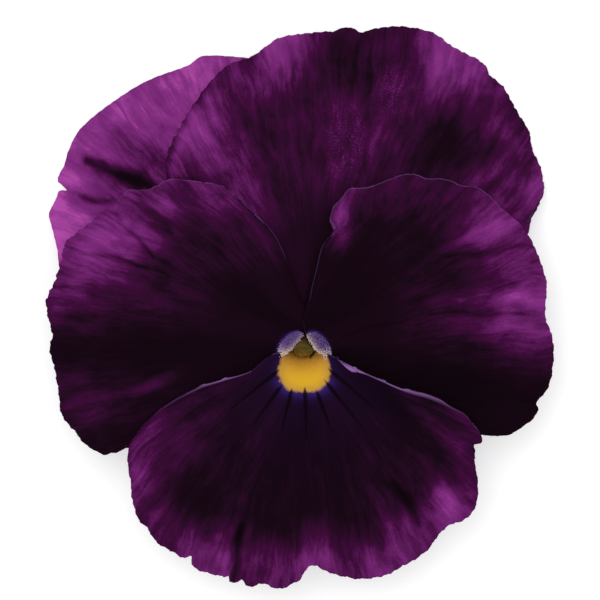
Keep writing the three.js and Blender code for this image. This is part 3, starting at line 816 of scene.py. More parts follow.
def petalTone(shape, edge, x, y, u, v):
    # tones along rays that waver a little, then lighter and darker patches that are partly painted light and
    # shade, creases darkened with painted shade, and a dark fringe of painted shade along the rim
    share, heart, middle, rim = np.array(shape["rays"]).T
    wander = u + 0.008 * np.sin(7 * v + 31 * u) + 0.004 * np.sin(17 * v - 90 * u)
    heart, middle, rim = [np.interp(wander, share, tones) for tones in (heart, middle, rim)]
    tone = lerp(heart, middle, smoothstep(v, *petalForm["heartBand"]))
    tone = lerp(tone, rim, smoothstep(v, *shape["rimBand"]))
    # patches partly of the petal's own colour and partly painted light and shade
    for place, along, across, change in shape["flares"]:
        tone = tone + change * flare(x, y, place, along, across)
    # painted shade in the creases
    for start, end, halfWidth, dark in shape["creases"]:
        tone = tone - dark * crease(x, y, start, end, halfWidth)
    # painted shade along the rim
    if "rimShade" in shape:
        end, width, dark = shape["rimShade"]
        tone = tone - dark * np.exp(-((edge / width) ** 1.5)) * (1 - smoothstep(u, end, end + 0.06))
    return np.clip(tone, 0, 1)


def guideLines(x, y):
    # how far inside the nearest guide line, negative outside
    inside = np.full_like(x, farOutside)
    for tip, end in eye["guides"]:
        distance, share = segmentDistance(x, y, tip, end)
        width = eye["guideHalfWidth"] * smoothstep(share, -0.02, 0.16) * lerp(1, 0.1, share)
        inside = np.maximum(inside, width - distance)
    distance, _ = segmentDistance(x, y, *eye["hook"])
    return np.maximum(inside, eye["hookHalfWidth"] - distance)


def paleRim(shape, edge, x, y):
    # a fine pale line along the edge, a painted highlight where the edge catches the light, wider at the
    # lens where the curled margin shows the paler underside
    form = shape["paleEdge"]
    if not form:
        return np.zeros_like(x)
    window = np.interp(x, *zip(*form["strength"])) * smoothstep(y, form["above"], form["above"] + 1)
    width = form["halfWidth"]
    if "lens" in form:
        middle, halfLength, extra = form["lens"]
        width = width + extra * np.exp(-(((x - middle) / halfLength) ** 2))
    return window * (1 - smoothstep(edge, width, width + 0.08))


def beardPlace(beard, x, y):
    # how far along the beard, and how far outwards from its long axis
    angle = math.radians(beard["bearing"])
    dx = x - beard["centre"][0]
    dy = y - beard["centre"][1]
    along = dx * math.cos(angle) + dy * math.sin(angle)
    outward = (dx * math.sin(angle) - dy * math.cos(angle)) * beard["outside"]
    return along, outward, np.hypot(along / beard["halfLength"], outward / beard["halfWidth"])


def rimWindow(u, shares, fade):
    # one between the two shares of the rim, and fading to nothing outside
    start, end = shares
    return smoothstep(u, start, start + fade) * smoothstep(-u, -end, fade - end)


def eyeAndHalo(x, y):
    # how far inside the yellow eye, and how violet the petal is round it
    across = np.abs(x - eye["centre"][0]) / eye["halfWidth"]
    across = across / lerp(eye["topWidth"], 1, smoothstep(-y, *eye["topFade"]))
    down = np.abs(y - eye["centre"][1]) / eye["halfHeight"]
    power = eye["squareness"]
    yellow = (1 - (across**power + down**power) ** (1 / power)) * eye["halfHeight"]
    away = np.maximum(-yellow, 0)
    below = lerp(eye["haloAbove"], 1, smoothstep(-y, *eye["haloFade"]))
    violet = eye["halo"] * below * np.exp(-((away / eye["haloWidth"]) ** 1.5))
    return yellow, violet + eye["haze"] * np.exp(-away / eye["hazeWidth"])


def petalAttributes(name, shape, x, y, u, v, rimLength):
    edge = edgeDistance(x, y)
    attributes = {"tone": petalTone(shape, edge, x, y, u[None], v[:, None])}
    length = np.hypot(x[-1] - x[0], y[-1] - y[0])
    attributes["vein"] = np.dstack([
        np.broadcast_to((u - 0.5) * rimLength, x.shape) * mm,
        v[:, None] * length[None] * mm,
        np.zeros_like(x),
    ])
    attributes["grow"] = v[:, None] ** 1.5 * np.ones_like(x)
    rimward = smoothstep(v, *petalForm["ruffleBand"])[:, None]
    lift = petalForm["ruffleLift"] * mm
    attributes["lift"] = lift * rimWindow(u, shape["ruffles"], petalForm["ruffleFade"]) * rimward
    hanging = np.zeros_like(u)
    if shape["hangs"]:
        hanging = rimWindow(u, shape["hangs"], petalForm["hangFade"])
    attributes["drop"] = lift * hanging * rimward
    paleEdge = paleRim(shape, edge, x, y)
    violet = np.zeros_like(x)
    yellow = np.full_like(x, farOutside)
    guide = np.full_like(x, farOutside)
    if name == "lower_petal":
        yellow, violet = eyeAndHalo(x, y)
        guide = guideLines(x, y)
    if "beard" in shape:
        ground = beardGround
        _, outward, reach = beardPlace(shape["beard"], x, y)
        violet = ground["violet"] * (1 - smoothstep(reach, *ground["violetFade"]))
        lip = ground["pale"] * (1 - smoothstep(reach, *ground["paleFade"]))
        paleEdge = np.maximum(paleEdge, lip * (1 - smoothstep(outward, *ground["paleSide"])))
    stipple = [hill(x, y, place, *reach) for place, *reach in shape.get("stipple", [])]
    stipple = np.maximum.reduce([np.zeros_like(x), *stipple])
    attributes.update(paleEdge=paleEdge, violet=violet, yellow=yellow, guide=guide, stipple=stipple)
    return attributes, edge


def petalGrid(name):
    shape = petals[name]
    u = np.linspace(0, 1, petalForm["columns"])
    v = np.linspace(0, 1, petalForm["bladeRows"]) ** petalForm["rowPower"]
    step = petalForm["rimStep"]
    u[1] = step / 3
    u[-2] = 1 - step / 3
    v[-3:-1] = 1 - 2 * step, 1 - step
    plan, rimLength = petalPlan(shape, u, v)
    x = plan[..., 0]
    y = plan[..., 1]
    attributes, edge = petalAttributes(name, shape, x, y, u, v, rimLength)
    z = petalHeight(name, x, y)
    for start, end, halfWidth, dark in shape["creases"]:
        z = z - petalForm["creaseDepth"] * dark * crease(x, y, start, end, halfWidth)
    if "curl" in shape:
        curl = shape["curl"]
        window = smoothstep(y, *curl["lower"]) * smoothstep(-y, *curl["upper"])
        z = z + curl["height"] * np.exp(-((edge / curl["width"]) ** 2)) * window
    blade = np.dstack([x, y, z])
    w = np.linspace(0, 1, petalForm["clawRows"], endpoint=False)[:, None, None]
    foot = petalFoot(shape, u)
    claw = lerp(foot[None], blade[:1], w)
    claw[..., :2] = lerp(foot[None, :, :2], blade[:1, :, :2], w ** (3 if shape["claw"] else 1))
    for key, values in attributes.items():
        lead = np.repeat(values[:1], len(w), axis=0)
        attributes[key] = np.concatenate([lead, values])
    return np.concatenate([claw, blade]), attributes


petalPaint = {
    "tones": [  # from the darkest to the palest
        (0.0, (0.0040, 0.0010, 0.0030)), (0.12, (0.0088, 0.0018, 0.0068)), (0.25, (0.0235, 0.0028, 0.0198)),
        (0.4, (0.046, 0.0030, 0.039)), (0.55, (0.096, 0.0092, 0.089)), (0.7, (0.155, 0.0175, 0.149)),
        (0.85, (0.215, 0.028, 0.204)), (1.0, (0.39, 0.062, 0.34)),
    ],
    "violet": (0.030, 0.012, 0.125),
    "lilac": (0.25, 0.115, 0.34),
    "gold": [  # down the eye
        (0.0, (0.2, 0.11, 0.018)), (0.15, (0.30, 0.15, 0.026)), (0.29, (0.46, 0.22, 0.03)),
        (0.44, (0.53, 0.27, 0.027)), (0.69, (0.59, 0.325, 0.022)), (0.95, (0.61, 0.35, 0.02)),
    ],
    # painted shade round the rim of the eye
    "goldShade": (0.40, 0.20, 0.045),
    "goldSpan": (-4.9, -8.9),
    "mottleWidth": 2.5,
    "mottleLength": 6.5,
    "streakWidth": 1.05,
    "streakLength": 5,
    "fibreWidth": 0.42,
    "fibreLength": 2.2,
    "veinWidth": 2.6,
    "veinLength": 13,
    "bendSize": 5,
    "wander": 2.2,  # how far the streaks wander from the veins
    "cloudSize": 3.2,
    "grainSize": 0.16,
    "dotSpan": (0.52, 0.68),  # the part of the grain that makes bright dots
    "markGain": 3.0,  # how much stronger the marks are in the middle tones
    "markLeast": 0.04,
    "markEnd": 1.15,  # the tone at which they would be gone again
    "grownAt": 0.4,  # as far out as this, they have their full strength
    "changes": {  # how far each kind of marking moves the tone
        "mottle": 0.17, "streak": 0.13, "fibre": 0.09, "cloud": 0.16, "vein": -0.1, "grain": 0.25,
        "dots": 0.22,
    },
    "raggedSize": 0.5,
    "raggedEye": 0.5,  # how strongly the edge of the eye wanders
    "raggedGuide": 0.25,
    "raggedGold": 0.6,
    "goldShadeWidth": 1.2,
    "goldShadeShare": 0.7,
    "eyeFade": (-0.16, 0.24),
    "guideFade": (-0.12, 0.08),
    "guideShare": 0.92,
    "bumpDepth": 0.07,
    "roughness": (0.62, 0.8),
}


def streaks(tree):
    # soft mottles, streaks, fine fibres and thin veins, all drawn out along the petal, each about 0 to 1
    spot = addNode(tree, "ShaderNodeTexCoord").outputs["Object"]
    bend = addNode(
        tree, "ShaderNodeTexNoise", None,
        {"Vector": spot, "Scale": 1 / (petalPaint["bendSize"] * mm), "Detail": 3.0},
    ).outputs[1]
    bend = calcVector(tree, "SUBTRACT", bend, (0.5, 0.5, 0.5))
    place = readAttribute(tree, "vein", "Vector")
    place = calcVector(tree, "ADD", place, scaleVector(tree, bend, petalPaint["wander"] * mm))

    def drawn(kind, roughness):
        size = (1 / petalPaint[kind + "Width"] / mm, 1 / petalPaint[kind + "Length"] / mm, 1)
        return noise(tree, calcVector(tree, "MULTIPLY", place, size), detail=2.0, roughness=roughness)

    vein = calc(tree, "ABSOLUTE", calc(tree, "SUBTRACT", drawn("vein", 0.45), 0.5))
    return {
        "mottle": mapRange(tree, drawn("mottle", 0.5), 0.25, 0.75),
        "streak": mapRange(tree, drawn("streak", 0.5), 0.25, 0.75),
        "fibre": mapRange(tree, drawn("fibre", 0.6), 0.3, 0.7),
        "vein": mapRange(tree, vein, 0.06, 0.0),
    }


def markedTone(tree, marks, cloud, grown):
    # mottles and streaks are strongest in the middle tones and fade towards the throat, and thin dark veins
    # come and go with the clouds
    dots = mapRange(tree, marks["grain"], *petalPaint["dotSpan"])
    moves = {kind: calc(tree, "SUBTRACT", mark, 0.5) for kind, mark in marks.items()}
    moves["cloud"] = calc(tree, "SUBTRACT", cloud, 0.5)
    moves["vein"] = calc(tree, "MULTIPLY", marks["vein"], cloud)
    moves["dots"] = calc(tree, "MULTIPLY", dots, readAttribute(tree, "stipple"))
    change = 0.0
    for kind, strength in petalPaint["changes"].items():
        change = calc(tree, "MULTIPLY_ADD", moves[kind], strength, change)
    tone = readAttribute(tree, "tone")
    middle = calc(tree, "MULTIPLY", tone, calc(tree, "SUBTRACT", petalPaint["markEnd"], tone))
    middle = calc(tree, "MULTIPLY_ADD", middle, petalPaint["markGain"], petalPaint["markLeast"])
    middle = calc(tree, "MULTIPLY", middle, grown)
    return calc(tree, "MULTIPLY_ADD", change, middle, tone)


def paintEye(tree, spot, fine, colour):
    # gold from the top of the eye to its bottom, with painted shade round its rim
    paint = petalPaint
    ragged = calc(tree, "MULTIPLY_ADD", fine, paint["raggedEye"], readAttribute(tree, "yellow"))
    page = addNode(tree, "ShaderNodeSeparateXYZ", None, {0: spot}).outputs[1]
    down = calc(tree, "MULTIPLY_ADD", fine, paint["raggedGold"] * mm, page)
    top, bottom = paint["goldSpan"]
    gold = mapRange(tree, down, top * mm, bottom * mm, kind="LINEAR")
    gold = colourRamp(tree, gold, paint["gold"])
    # painted shade round the eye's rim
    rim = mapRange(tree, ragged, paint["goldShadeWidth"], 0.0, 0.0, paint["goldShadeShare"])
    gold = mixColour(tree, rim, gold, (*paint["goldShade"], 1))
    return mixColour(tree, mapRange(tree, ragged, *paint["eyeFade"]), colour, gold)


def petalFaceMaterial():
    material, tree, shader = newMaterial(
        "petalFace", 0.012, Sheen_Weight=0.025, Sheen_Roughness=0.4, Sheen_Tint=(0.6, 0.12, 0.6, 1),
    )
    paint = petalPaint
    marks = streaks(tree)
    spot = addNode(tree, "ShaderNodeTexCoord").outputs["Object"]
    marks["grain"] = noise(tree, spot, 1 / (paint["grainSize"] * mm), 2.0, 0.6)
    fine = calc(tree, "SUBTRACT", noise(tree, spot, 1 / (paint["raggedSize"] * mm), 2.0), 0.5)
    cloud = mapRange(tree, noise(tree, spot, 1 / (paint["cloudSize"] * mm), 3.0, 0.55), 0.3, 0.7)
    grown = mapRange(tree, readAttribute(tree, "grow"), 0.0, paint["grownAt"])
    colour = colourRamp(tree, markedTone(tree, marks, cloud, grown), paint["tones"])

    violet = calc(tree, "MULTIPLY_ADD", fine, 0.5, 1.0)
    violet = calc(tree, "MULTIPLY", readAttribute(tree, "violet"), violet)
    colour = mixColour(tree, calc(tree, "MINIMUM", violet, 1.0), colour, (*paint["violet"], 1))
    colour = paintEye(tree, spot, fine, colour)
    guide = calc(tree, "MULTIPLY_ADD", fine, paint["raggedGuide"], readAttribute(tree, "guide"))
    guide = mapRange(tree, guide, *paint["guideFade"], 0.0, paint["guideShare"])
    colour = mixColour(tree, guide, colour, (*paint["tones"][0][1], 1))
    # lilac along the rims: painted highlight where the edges catch the light, and the paler underside and
    # beard ground
    colour = mixColour(tree, readAttribute(tree, "paleEdge"), colour, (*paint["lilac"], 1))

    height = calc(tree, "MULTIPLY_ADD", marks["mottle"], 0.8, marks["streak"])
    height = calc(tree, "MULTIPLY_ADD", marks["vein"], -0.3, height)
    height = calc(tree, "MULTIPLY_ADD", marks["grain"], 0.5, calc(tree, "MULTIPLY", height, grown))
    finishSkin(tree, shader, colour, height, paint["bumpDepth"], marks["mottle"], paint["roughness"])
    return material


petalBackPaint = {
    "tones": [
        (0.0, (0.030, 0.006, 0.036)), (0.35, (0.075, 0.018, 0.085)), (0.7, (0.19, 0.055, 0.2)),
        (1.0, (0.33, 0.14, 0.34)),
    ],
    "toneSpan": (0.25, 0.9),  # of the back, where the face has tones from 0 to faceSpan
    "faceSpan": 0.8,
    "mottle": (0.35, 0.65),  # how much a mottle brightens, and the tone without one
    "streak": (0.25, 0.87),
    "claw": 0.1,  # tone of the claw, as a share: painted shade, as the claw lies in the throat's shade
    "vein": (0.022, 0.004, 0.03),
    "veinShare": 0.6,
    "bumpDepth": 0.08,
    "roughness": (0.6, 0.75),
}


def petalBackMaterial():
    # the underside is paler and duller, with darker veins, and painted shade towards the claw
    material, tree, shader = newMaterial(
        "petalBack", 0.15, Sheen_Weight=0.2, Sheen_Roughness=0.5, Sheen_Tint=(0.7, 0.35, 0.75, 1),
    )
    paint = petalBackPaint
    marks = streaks(tree)
    tone = mapRange(tree, readAttribute(tree, "tone"), 0.0, paint["faceSpan"], *paint["toneSpan"])
    for kind in ("mottle", "streak"):
        tone = calc(tree, "MULTIPLY", tone, calc(tree, "MULTIPLY_ADD", marks[kind], *paint[kind]))
    # painted shade: the back darkens towards the claw, where the throat is in shade
    grown = mapRange(tree, readAttribute(tree, "grow"), 0.0, 0.1, paint["claw"], 1.0)
    tone = calc(tree, "MULTIPLY", tone, grown)
    colour = colourRamp(tree, tone, paint["tones"])
    vein = calc(tree, "MULTIPLY", marks["vein"], paint["veinShare"])
    colour = mixColour(tree, vein, colour, (*paint["vein"], 1))
    height = calc(tree, "MULTIPLY_ADD", marks["streak"], 0.5, marks["mottle"])
    finishSkin(tree, shader, colour, height, paint["bumpDepth"], marks["streak"], paint["roughness"])
    return material


petalFace = petalFaceMaterial()
petalBack = petalBackMaterial()


def makePetal(name):
    points, attributes = petalGrid(name)
    return sheetPiece(
        name + "_bloom", points, attributes, not facesUp(points), petalForm, petals[name]["seed"],
        petalFace, petalBack,
    )


petalPieces = {name: makePetal(name) for name in petals}
print("stage 2: petals", {name: len(piece.data.polygons) for name, piece in petalPieces.items()})


# Turned shapes and ribbed stems

def closeUp(piece):
    # poles and seams are merged, and then every face is turned outwards
    shell = bmesh.new()
    shell.from_mesh(piece.data)
    bmesh.ops.remove_doubles(shell, verts=shell.verts, dist=seam)
    bmesh.ops.recalc_face_normals(shell, faces=shell.faces)
    for face in shell.faces:
        face.smooth = True
    shell.to_mesh(piece.data)
    shell.free()


def turnedPiece(name, profile, form, attributes=None, tilt=None):
    # the profile is radius and height, and the piece stands on form's centre
    line, length = smoothLine(profile)
    share = np.linspace(0, 1, form["rows"])
    radius, height = line(share).T
    angle = np.arange(form["sides"]) * 2 * math.pi / form["sides"]
    swell = 1 + form.get("ribHeight", 0) * np.cos(form.get("ribs", 0) * angle)
    spread = radius[:, None] * swell
    points = np.dstack([
        spread * np.cos(angle), spread * np.sin(angle), np.broadcast_to(height[:, None], spread.shape),
    ])
    if tilt:
        points = points @ np.array(tilt.to_matrix()).T
    points = points + np.array(form["centre"])
    layers = {key: np.full_like(spread, value) for key, value in (attributes or {}).items()}
    layers["vein"] = np.dstack([
        np.broadcast_to(angle * radius.max() * mm, spread.shape),
        np.broadcast_to(share[:, None] * length * mm, spread.shape),
        np.zeros_like(spread),
    ])
    return meshObject(name, points, gridFaces(form["rows"], form["sides"], wrap=True), layers)


def ribbedStemTree(lumpSize=1.6 * mm, lumpHeight=2.5):
    # A line becomes a stem with shallow ribs along it. The line's own radius scales the stem, and the
    # lumps' height is in heights of a rib.
    tree, given, result = shapeTree("ribbedStem", {
        "Radius": "Float", "Sides": "Int", "Ribs": "Float", "Rib Height": "Float", "Step": "Float",
        "Skin": "Material",
    })
    path = addNode(
        tree, "GeometryNodeResampleCurve", {"mode": "LENGTH"},
        {"Curve": given["Geometry"], "Length": given["Step"]},
    )
    ring = addNode(
        tree, "GeometryNodeCurvePrimitiveCircle", {"mode": "RADIUS"},
        {"Resolution": given["Sides"], "Radius": given["Radius"]},
    )
    turn = tree.nodes.new("GeometryNodeSplineParameter").outputs["Factor"]
    marked = addNode(
        tree, "GeometryNodeStoreNamedAttribute", {"data_type": "FLOAT", "domain": "POINT"},
        {"Geometry": ring.outputs[0], "Name": "turn", "Value": turn},
    )
    tube = addNode(
        tree, "GeometryNodeCurveToMesh", None,
        {"Curve": path.outputs[0], "Profile Curve": marked.outputs[0], "Fill Caps": True},
    )
    turns = calc(tree, "MULTIPLY", namedFloat(tree, "turn"), given["Ribs"])
    phase = calc(tree, "MULTIPLY", turns, 2 * math.pi)
    rib = calc(tree, "MULTIPLY", calc(tree, "COSINE", phase), given["Rib Height"])
    spot = tree.nodes.new("GeometryNodeInputPosition").outputs[0]
    lump = calc(tree, "SUBTRACT", noise(tree, spot, 1 / lumpSize, 2.0), 0.5)
    lump = calc(tree, "MULTIPLY", lump, calc(tree, "MULTIPLY", given["Rib Height"], lumpHeight))
    normal = tree.nodes.new("GeometryNodeInputNormal").outputs[0]
    shaped = movePoints(tree, tube.outputs[0], scaleVector(tree, normal, calc(tree, "ADD", rib, lump)))
    tree.links.new(finishShape(tree, shaped, given["Skin"]), result[0])
    return tree


ribbedStem = ribbedStemTree()


def stemPiece(name, route, radii, form, skin):
    data = bpy.data.curves.new(name, "CURVE")
    data.dimensions = "3D"
    spline = data.splines.new("POLY")
    spline.points.add(len(route) - 1)
    for point, place, radius in zip(spline.points, route, radii):
        point.co = (*(np.array(place) * mm), 1)
        point.radius = radius
    line = placeObject(name + "Line", data)
    giveTree(line, ribbedStem, {
        "Radius": form["radius"] * mm, "Sides": form["sides"], "Ribs": float(form["ribs"]),
        "Rib Height": form["ribHeight"] * mm, "Step": form["step"] * mm, "Skin": skin,
    })
    mesh = evaluatedMesh(line)
    mesh.name = name
    bpy.data.objects.remove(line)
    return placeObject(name, mesh)


# Spur: the pouch behind the lower petal, in one piece with it

spur = {
    "centre": (*bloom["spurAxis"], 0),
    "rows": 60,
    "sides": 64,
    "ribs": 7,
    "ribHeight": 0.025,
    "outside": [
        (0, 2.1), (0.45, 2.14), (0.85, 2.36), (1.12, 2.8), (1.24, 3.5), (1.2, 4.4), (1.22, 5.2), (1.2, 5.6),
    ],
    "inside": [
        (1.02, 5.6), (0.98, 5.2), (0.97, 4.4), (1.0, 3.5), (0.88, 2.9), (0.62, 2.55), (0.3, 2.42), (0, 2.4),
    ],
    "tone": 0.45,
    "yellow": 0.1,
}


def makeSpur():
    plain = dict.fromkeys(("violet", "paleEdge", "stipple", "grow", "lift", "drop"), 0.0)
    plain.update(tone=spur["tone"], yellow=spur["yellow"], guide=farOutside)
    piece = turnedPiece("spur", spur["outside"] + spur["inside"], spur, plain)
    piece.data.materials.append(petalFace)
    piece.data.materials.append(petalBack)
    outer = (spur["rows"] - 1) * spur["sides"] // 2
    for face in piece.data.polygons:
        face.material_index = 1 if face.index < outer else 0
    closeUp(piece)
    return piece


joinPieces(petalPieces["lower_petal"], makeSpur())
for name, piece in petalPieces.items():
    standIn(piece, petals[name]["slot"], name)
print("stage 3: spur joined to the lower petal")


# Beards: short hairs on the side petals at the throat

beardForm = {
    "density": 190,  # hairs on a square millimetre
    "length": 0.5,
    "width": 0.09,
    "scatter": 0.4,
    "middle": (0.04, 0.55),  # how far a hair's middle and end are sideways and up, in its lengths
    "end": (0.28, 0.95),
    "sizes": (0.65, 1.2),
    "hairPoints": 4,
    "hairSides": 5,
    "shares": (0.12, 1.0),  # of the lip of the petal
    "reach": 0.13,  # of the way from the lip to the rim
    "columns": 60,
    "rows": 40,
    "fade": (0.88, 1.04),
    "pale": 1.05,  # at the petal's lip
    "paleLoss": (0.9, -0.85, 0.55),  # outwards from the lip: how much, from and to
    "paleGain": (0.5, 0.2, 1.4),  # down the beard
    "paleTip": 0.35,  # how much paler the tips are than the feet
    "darker": 0.12,
    "fleckSize": 0.12,
    "tones": [
        (0.0, (0.028, 0.012, 0.10)), (0.25, (0.092, 0.044, 0.21)), (0.55, (0.22, 0.13, 0.30)),
        (0.8, (0.40, 0.29, 0.36)), (1.0, (0.62, 0.50, 0.46)),
    ],
}

beards = {
    "left": {"petal": "left_side_petal", "lean": (0.6, -0.75, 0.0)},
    "right": {"petal": "right_side_petal", "lean": (-0.6, -0.75, 0.0)},
}


def oneHair(tree, given):
    # a bent tube with a thin foot, and its attribute tip runs from 0 to 1 along it

    def onHair(place):
        sideways, up = [calc(tree, "MULTIPLY", given["Hair Length"], part) for part in place]
        return addNode(tree, "ShaderNodeCombineXYZ", None, {0: sideways, 2: up}).outputs[0]

    line = addNode(
        tree, "GeometryNodeCurveQuadraticBezier", None,
        {"Resolution": beardForm["hairPoints"], "Start": (0, 0, 0), "Middle": onHair(beardForm["middle"]),
         "End": onHair(beardForm["end"])},
    )
    along = tree.nodes.new("GeometryNodeSplineParameter").outputs["Factor"]
    marked = addNode(
        tree, "GeometryNodeStoreNamedAttribute", {"data_type": "FLOAT", "domain": "POINT"},
        {"Geometry": line.outputs[0], "Name": "tip", "Value": along},
    )
    club = calc(tree, "MULTIPLY_ADD", calc(tree, "SINE", calc(tree, "MULTIPLY", along, 2.6)), 0.5, 0.5)
    fat = addNode(tree, "GeometryNodeSetCurveRadius", None, {"Curve": marked.outputs[0], "Radius": club})
    ring = addNode(
        tree, "GeometryNodeCurvePrimitiveCircle", {"mode": "RADIUS"},
        {"Resolution": beardForm["hairSides"], "Radius": calc(tree, "MULTIPLY", given["Hair Width"], 0.5)},
    )
    hair = addNode(
        tree, "GeometryNodeCurveToMesh", None,
        {"Curve": fat.outputs[0], "Profile Curve": ring.outputs[0], "Fill Caps": True},
    )
    return hair.outputs[0]


def beardTree():
    # Hairs grow where the sheet's attribute beard is above zero, roughly along its normal plus Lean.
    tree, given, result = shapeTree("beard", {
        "Density": "Float", "Hair Length": "Float", "Hair Width": "Float", "Lean": "Vector",
        "Scatter": "Float", "Seed": "Int", "Hair": "Material",
    })
    density = calc(tree, "MULTIPLY", given["Density"], namedFloat(tree, "beard"))
    roots = addNode(
        tree, "GeometryNodeDistributePointsOnFaces", {"distribute_method": "RANDOM"},
        {"Mesh": given["Geometry"], "Density": density, "Seed": given["Seed"]},
    )
    jitter = addNode(
        tree, "FunctionNodeRandomValue", {"data_type": "FLOAT_VECTOR"},
        {0: (-1.0, -1.0, -1.0), 1: (1.0, 1.0, 1.0), "Seed": given["Seed"]},
    )
    heading = calcVector(tree, "ADD", roots.outputs["Normal"], given["Lean"])
    heading = calcVector(tree, "ADD", heading, scaleVector(tree, jitter.outputs[0], given["Scatter"]))
    aim = addNode(tree, "FunctionNodeAlignRotationToVector", {"axis": "Z"}, {"Vector": heading})
    smallest, largest = beardForm["sizes"]
    size = addNode(
        tree, "FunctionNodeRandomValue", {"data_type": "FLOAT"},
        {2: smallest, 3: largest, "Seed": given["Seed"]},
    )
    planted = addNode(
        tree, "GeometryNodeInstanceOnPoints", None,
        {"Points": roots.outputs["Points"], "Instance": oneHair(tree, given), "Rotation": aim.outputs[0],
         "Scale": size.outputs[1]},
    )
    tree.links.new(finishShape(tree, planted.outputs[0], given["Hair"]), result[0])
    return tree


def beardHairMaterial():
    material, tree, shader = newMaterial("beardHair", 0.3, Roughness=0.55)
    tip = readAttribute(tree, "tip")
    pale = calc(tree, "MULTIPLY_ADD", tip, beardForm["paleTip"], readAttribute(tree, "pale"))
    pale = calc(tree, "SUBTRACT", pale, beardForm["darker"])
    spot = addNode(tree, "ShaderNodeTexCoord").outputs["Object"]
    fleck = calc(tree, "SUBTRACT", noise(tree, spot, 1 / (beardForm["fleckSize"] * mm), 1.0), 0.5)
    pale = calc(tree, "MULTIPLY_ADD", fleck, 0.5, pale)
    tree.links.new(colourRamp(tree, pale, beardForm["tones"]), shader.inputs["Base Color"])
    return material


beardHairs = beardTree()
beardHair = beardHairMaterial()


def makeBeard(side, seed):
    beard = beards[side]
    name = beard["petal"]
    u = np.linspace(*beardForm["shares"], beardForm["columns"])
    v = np.linspace(0, beardForm["reach"], beardForm["rows"])
    plan, _ = petalPlan(petals[name], u, v)
    x = plan[..., 0]
    y = plan[..., 1]
    points = np.dstack([x, y, petalHeight(name, x, y)])
    along, outward, reach = beardPlace(petals[name]["beard"], x, y)
    loss, *lossSpan = beardForm["paleLoss"]
    gain, *gainSpan = beardForm["paleGain"]
    pale = beardForm["pale"] - loss * smoothstep(outward, *lossSpan) + gain * smoothstep(along, *gainSpan)
    attributes = {"beard": 1 - smoothstep(reach, *beardForm["fade"]), "pale": pale}
    patch = meshObject(side + "_beard", points, gridFaces(*x.shape, not facesUp(points)), attributes)
    return runTree(patch, beardHairs, {
        "Density": beardForm["density"] / mm**2,
        "Hair Length": beardForm["length"] * mm,
        "Hair Width": beardForm["width"] * mm,
        "Lean": beard["lean"],
        "Scatter": beardForm["scatter"],
        "Seed": seed,
        "Hair": beardHair,
    })


for seed, side in enumerate(beards):
    beard = makeBeard(side, seed + 1)
    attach(beard, "root")
    print("stage 4:", side, "beard with", len(beard.data.polygons), "faces")


# Sepals, behind the petals

sepalForm = {
    "thickness": 0.34,
    "ring": 3.15,
    "reach": 12.5,
    "seat": 4.6,
    "earDepth": 2.4,
    "earLean": 0.7,
    "rise": 0.9,
    "halfWidth": 2.2,
    "seatHalfWidth": 0.95,
    "earHalfWidth": 1.25,
    "earRounding": 0.55,  # share of its width that the ear loses at its end
    "arc": (0.12, 0.985),  # the part of a sine's hump that gives the blade's width
    "teeth": 22,  # radians of tooth along the blade
    "toothDepth": 0.05,
    "keel": 0.12,
    "keelHalfWidth": 0.22,
    "marginLift": 0.1,
    "veinWidth": 0.5,
    "veinLength": 5,
    "veinHeight": 0.16,
    "ruffleLength": 5,
    "lowest": 0.2,
    "rows": 90,
    "columns": 25,
}

sepals = {  # bearing, and how high the sepal rises before it falls away with the face
    "top_sepal": (90, 7.9),
    "upper_left_sepal": (155, 7.9),
    "upper_right_sepal": (25, 7.9),
    "lower_left_sepal": (218, 9.3),
    "lower_right_sepal": (-38, 9.3),
}


sepalPaint = {
    "dark": (0.045, 0.095, 0.018),
    "main": (0.10, 0.19, 0.035),
    "light": (0.24, 0.34, 0.10),
    "flush": (0.09, 0.04, 0.05),
    "veinWidth": 0.35,
    "veinLength": 2.8,
    "cloudSize": 1.8,
    "grainSize": 0.14,
    "flushSize": 3.5,
    "flushShare": 0.55,
    "marginFrom": 0.82,
    "marginShare": 0.7,
    "bumpDepth": 0.08,
    "roughness": (0.42, 0.62),
}


def sepalSkinMaterial():
    # a leaf-like skin: light and dark veins along it, pale margins, and a few purple flushes
    material, tree, shader = newMaterial("sepalSkin", 0.35)
    paint = sepalPaint
    spot = addNode(tree, "ShaderNodeTexCoord").outputs["Object"]
    size = (1 / paint["veinWidth"] / mm, 1 / paint["veinLength"] / mm, 1)
    place = calcVector(tree, "MULTIPLY", readAttribute(tree, "vein", "Vector"), size)
    vein = mapRange(tree, noise(tree, place, detail=3.0), 0.3, 0.7)
    cloud = mapRange(tree, noise(tree, spot, 1 / (paint["cloudSize"] * mm), 3.0), 0.3, 0.7)
    grain = noise(tree, spot, 1 / (paint["grainSize"] * mm), 2.0)
    shade = calc(tree, "MULTIPLY_ADD", vein, 0.5, calc(tree, "MULTIPLY", cloud, 0.5))
    colour = colourRamp(tree, shade, [(0.15, paint["dark"]), (0.55, paint["main"]), (0.95, paint["light"])])
    flush = noise(tree, spot, 1 / (paint["flushSize"] * mm), 2.0)
    flush = mapRange(tree, flush, 0.56, 0.72, 0.0, paint["flushShare"])
    colour = mixColour(tree, flush, colour, (*paint["flush"], 1))
    margin = readAttribute(tree, "margin")
    margin = mapRange(tree, margin, paint["marginFrom"], 1.0, 0.0, paint["marginShare"])
    colour = mixColour(tree, margin, colour, (*paint["light"], 1))
    height = calc(tree, "MULTIPLY_ADD", grain, 0.6, vein)
    finishSkin(tree, shader, colour, height, paint["bumpDepth"], cloud, paint["roughness"], strength=0.6)
    return material


sepalSkin = sepalSkinMaterial()


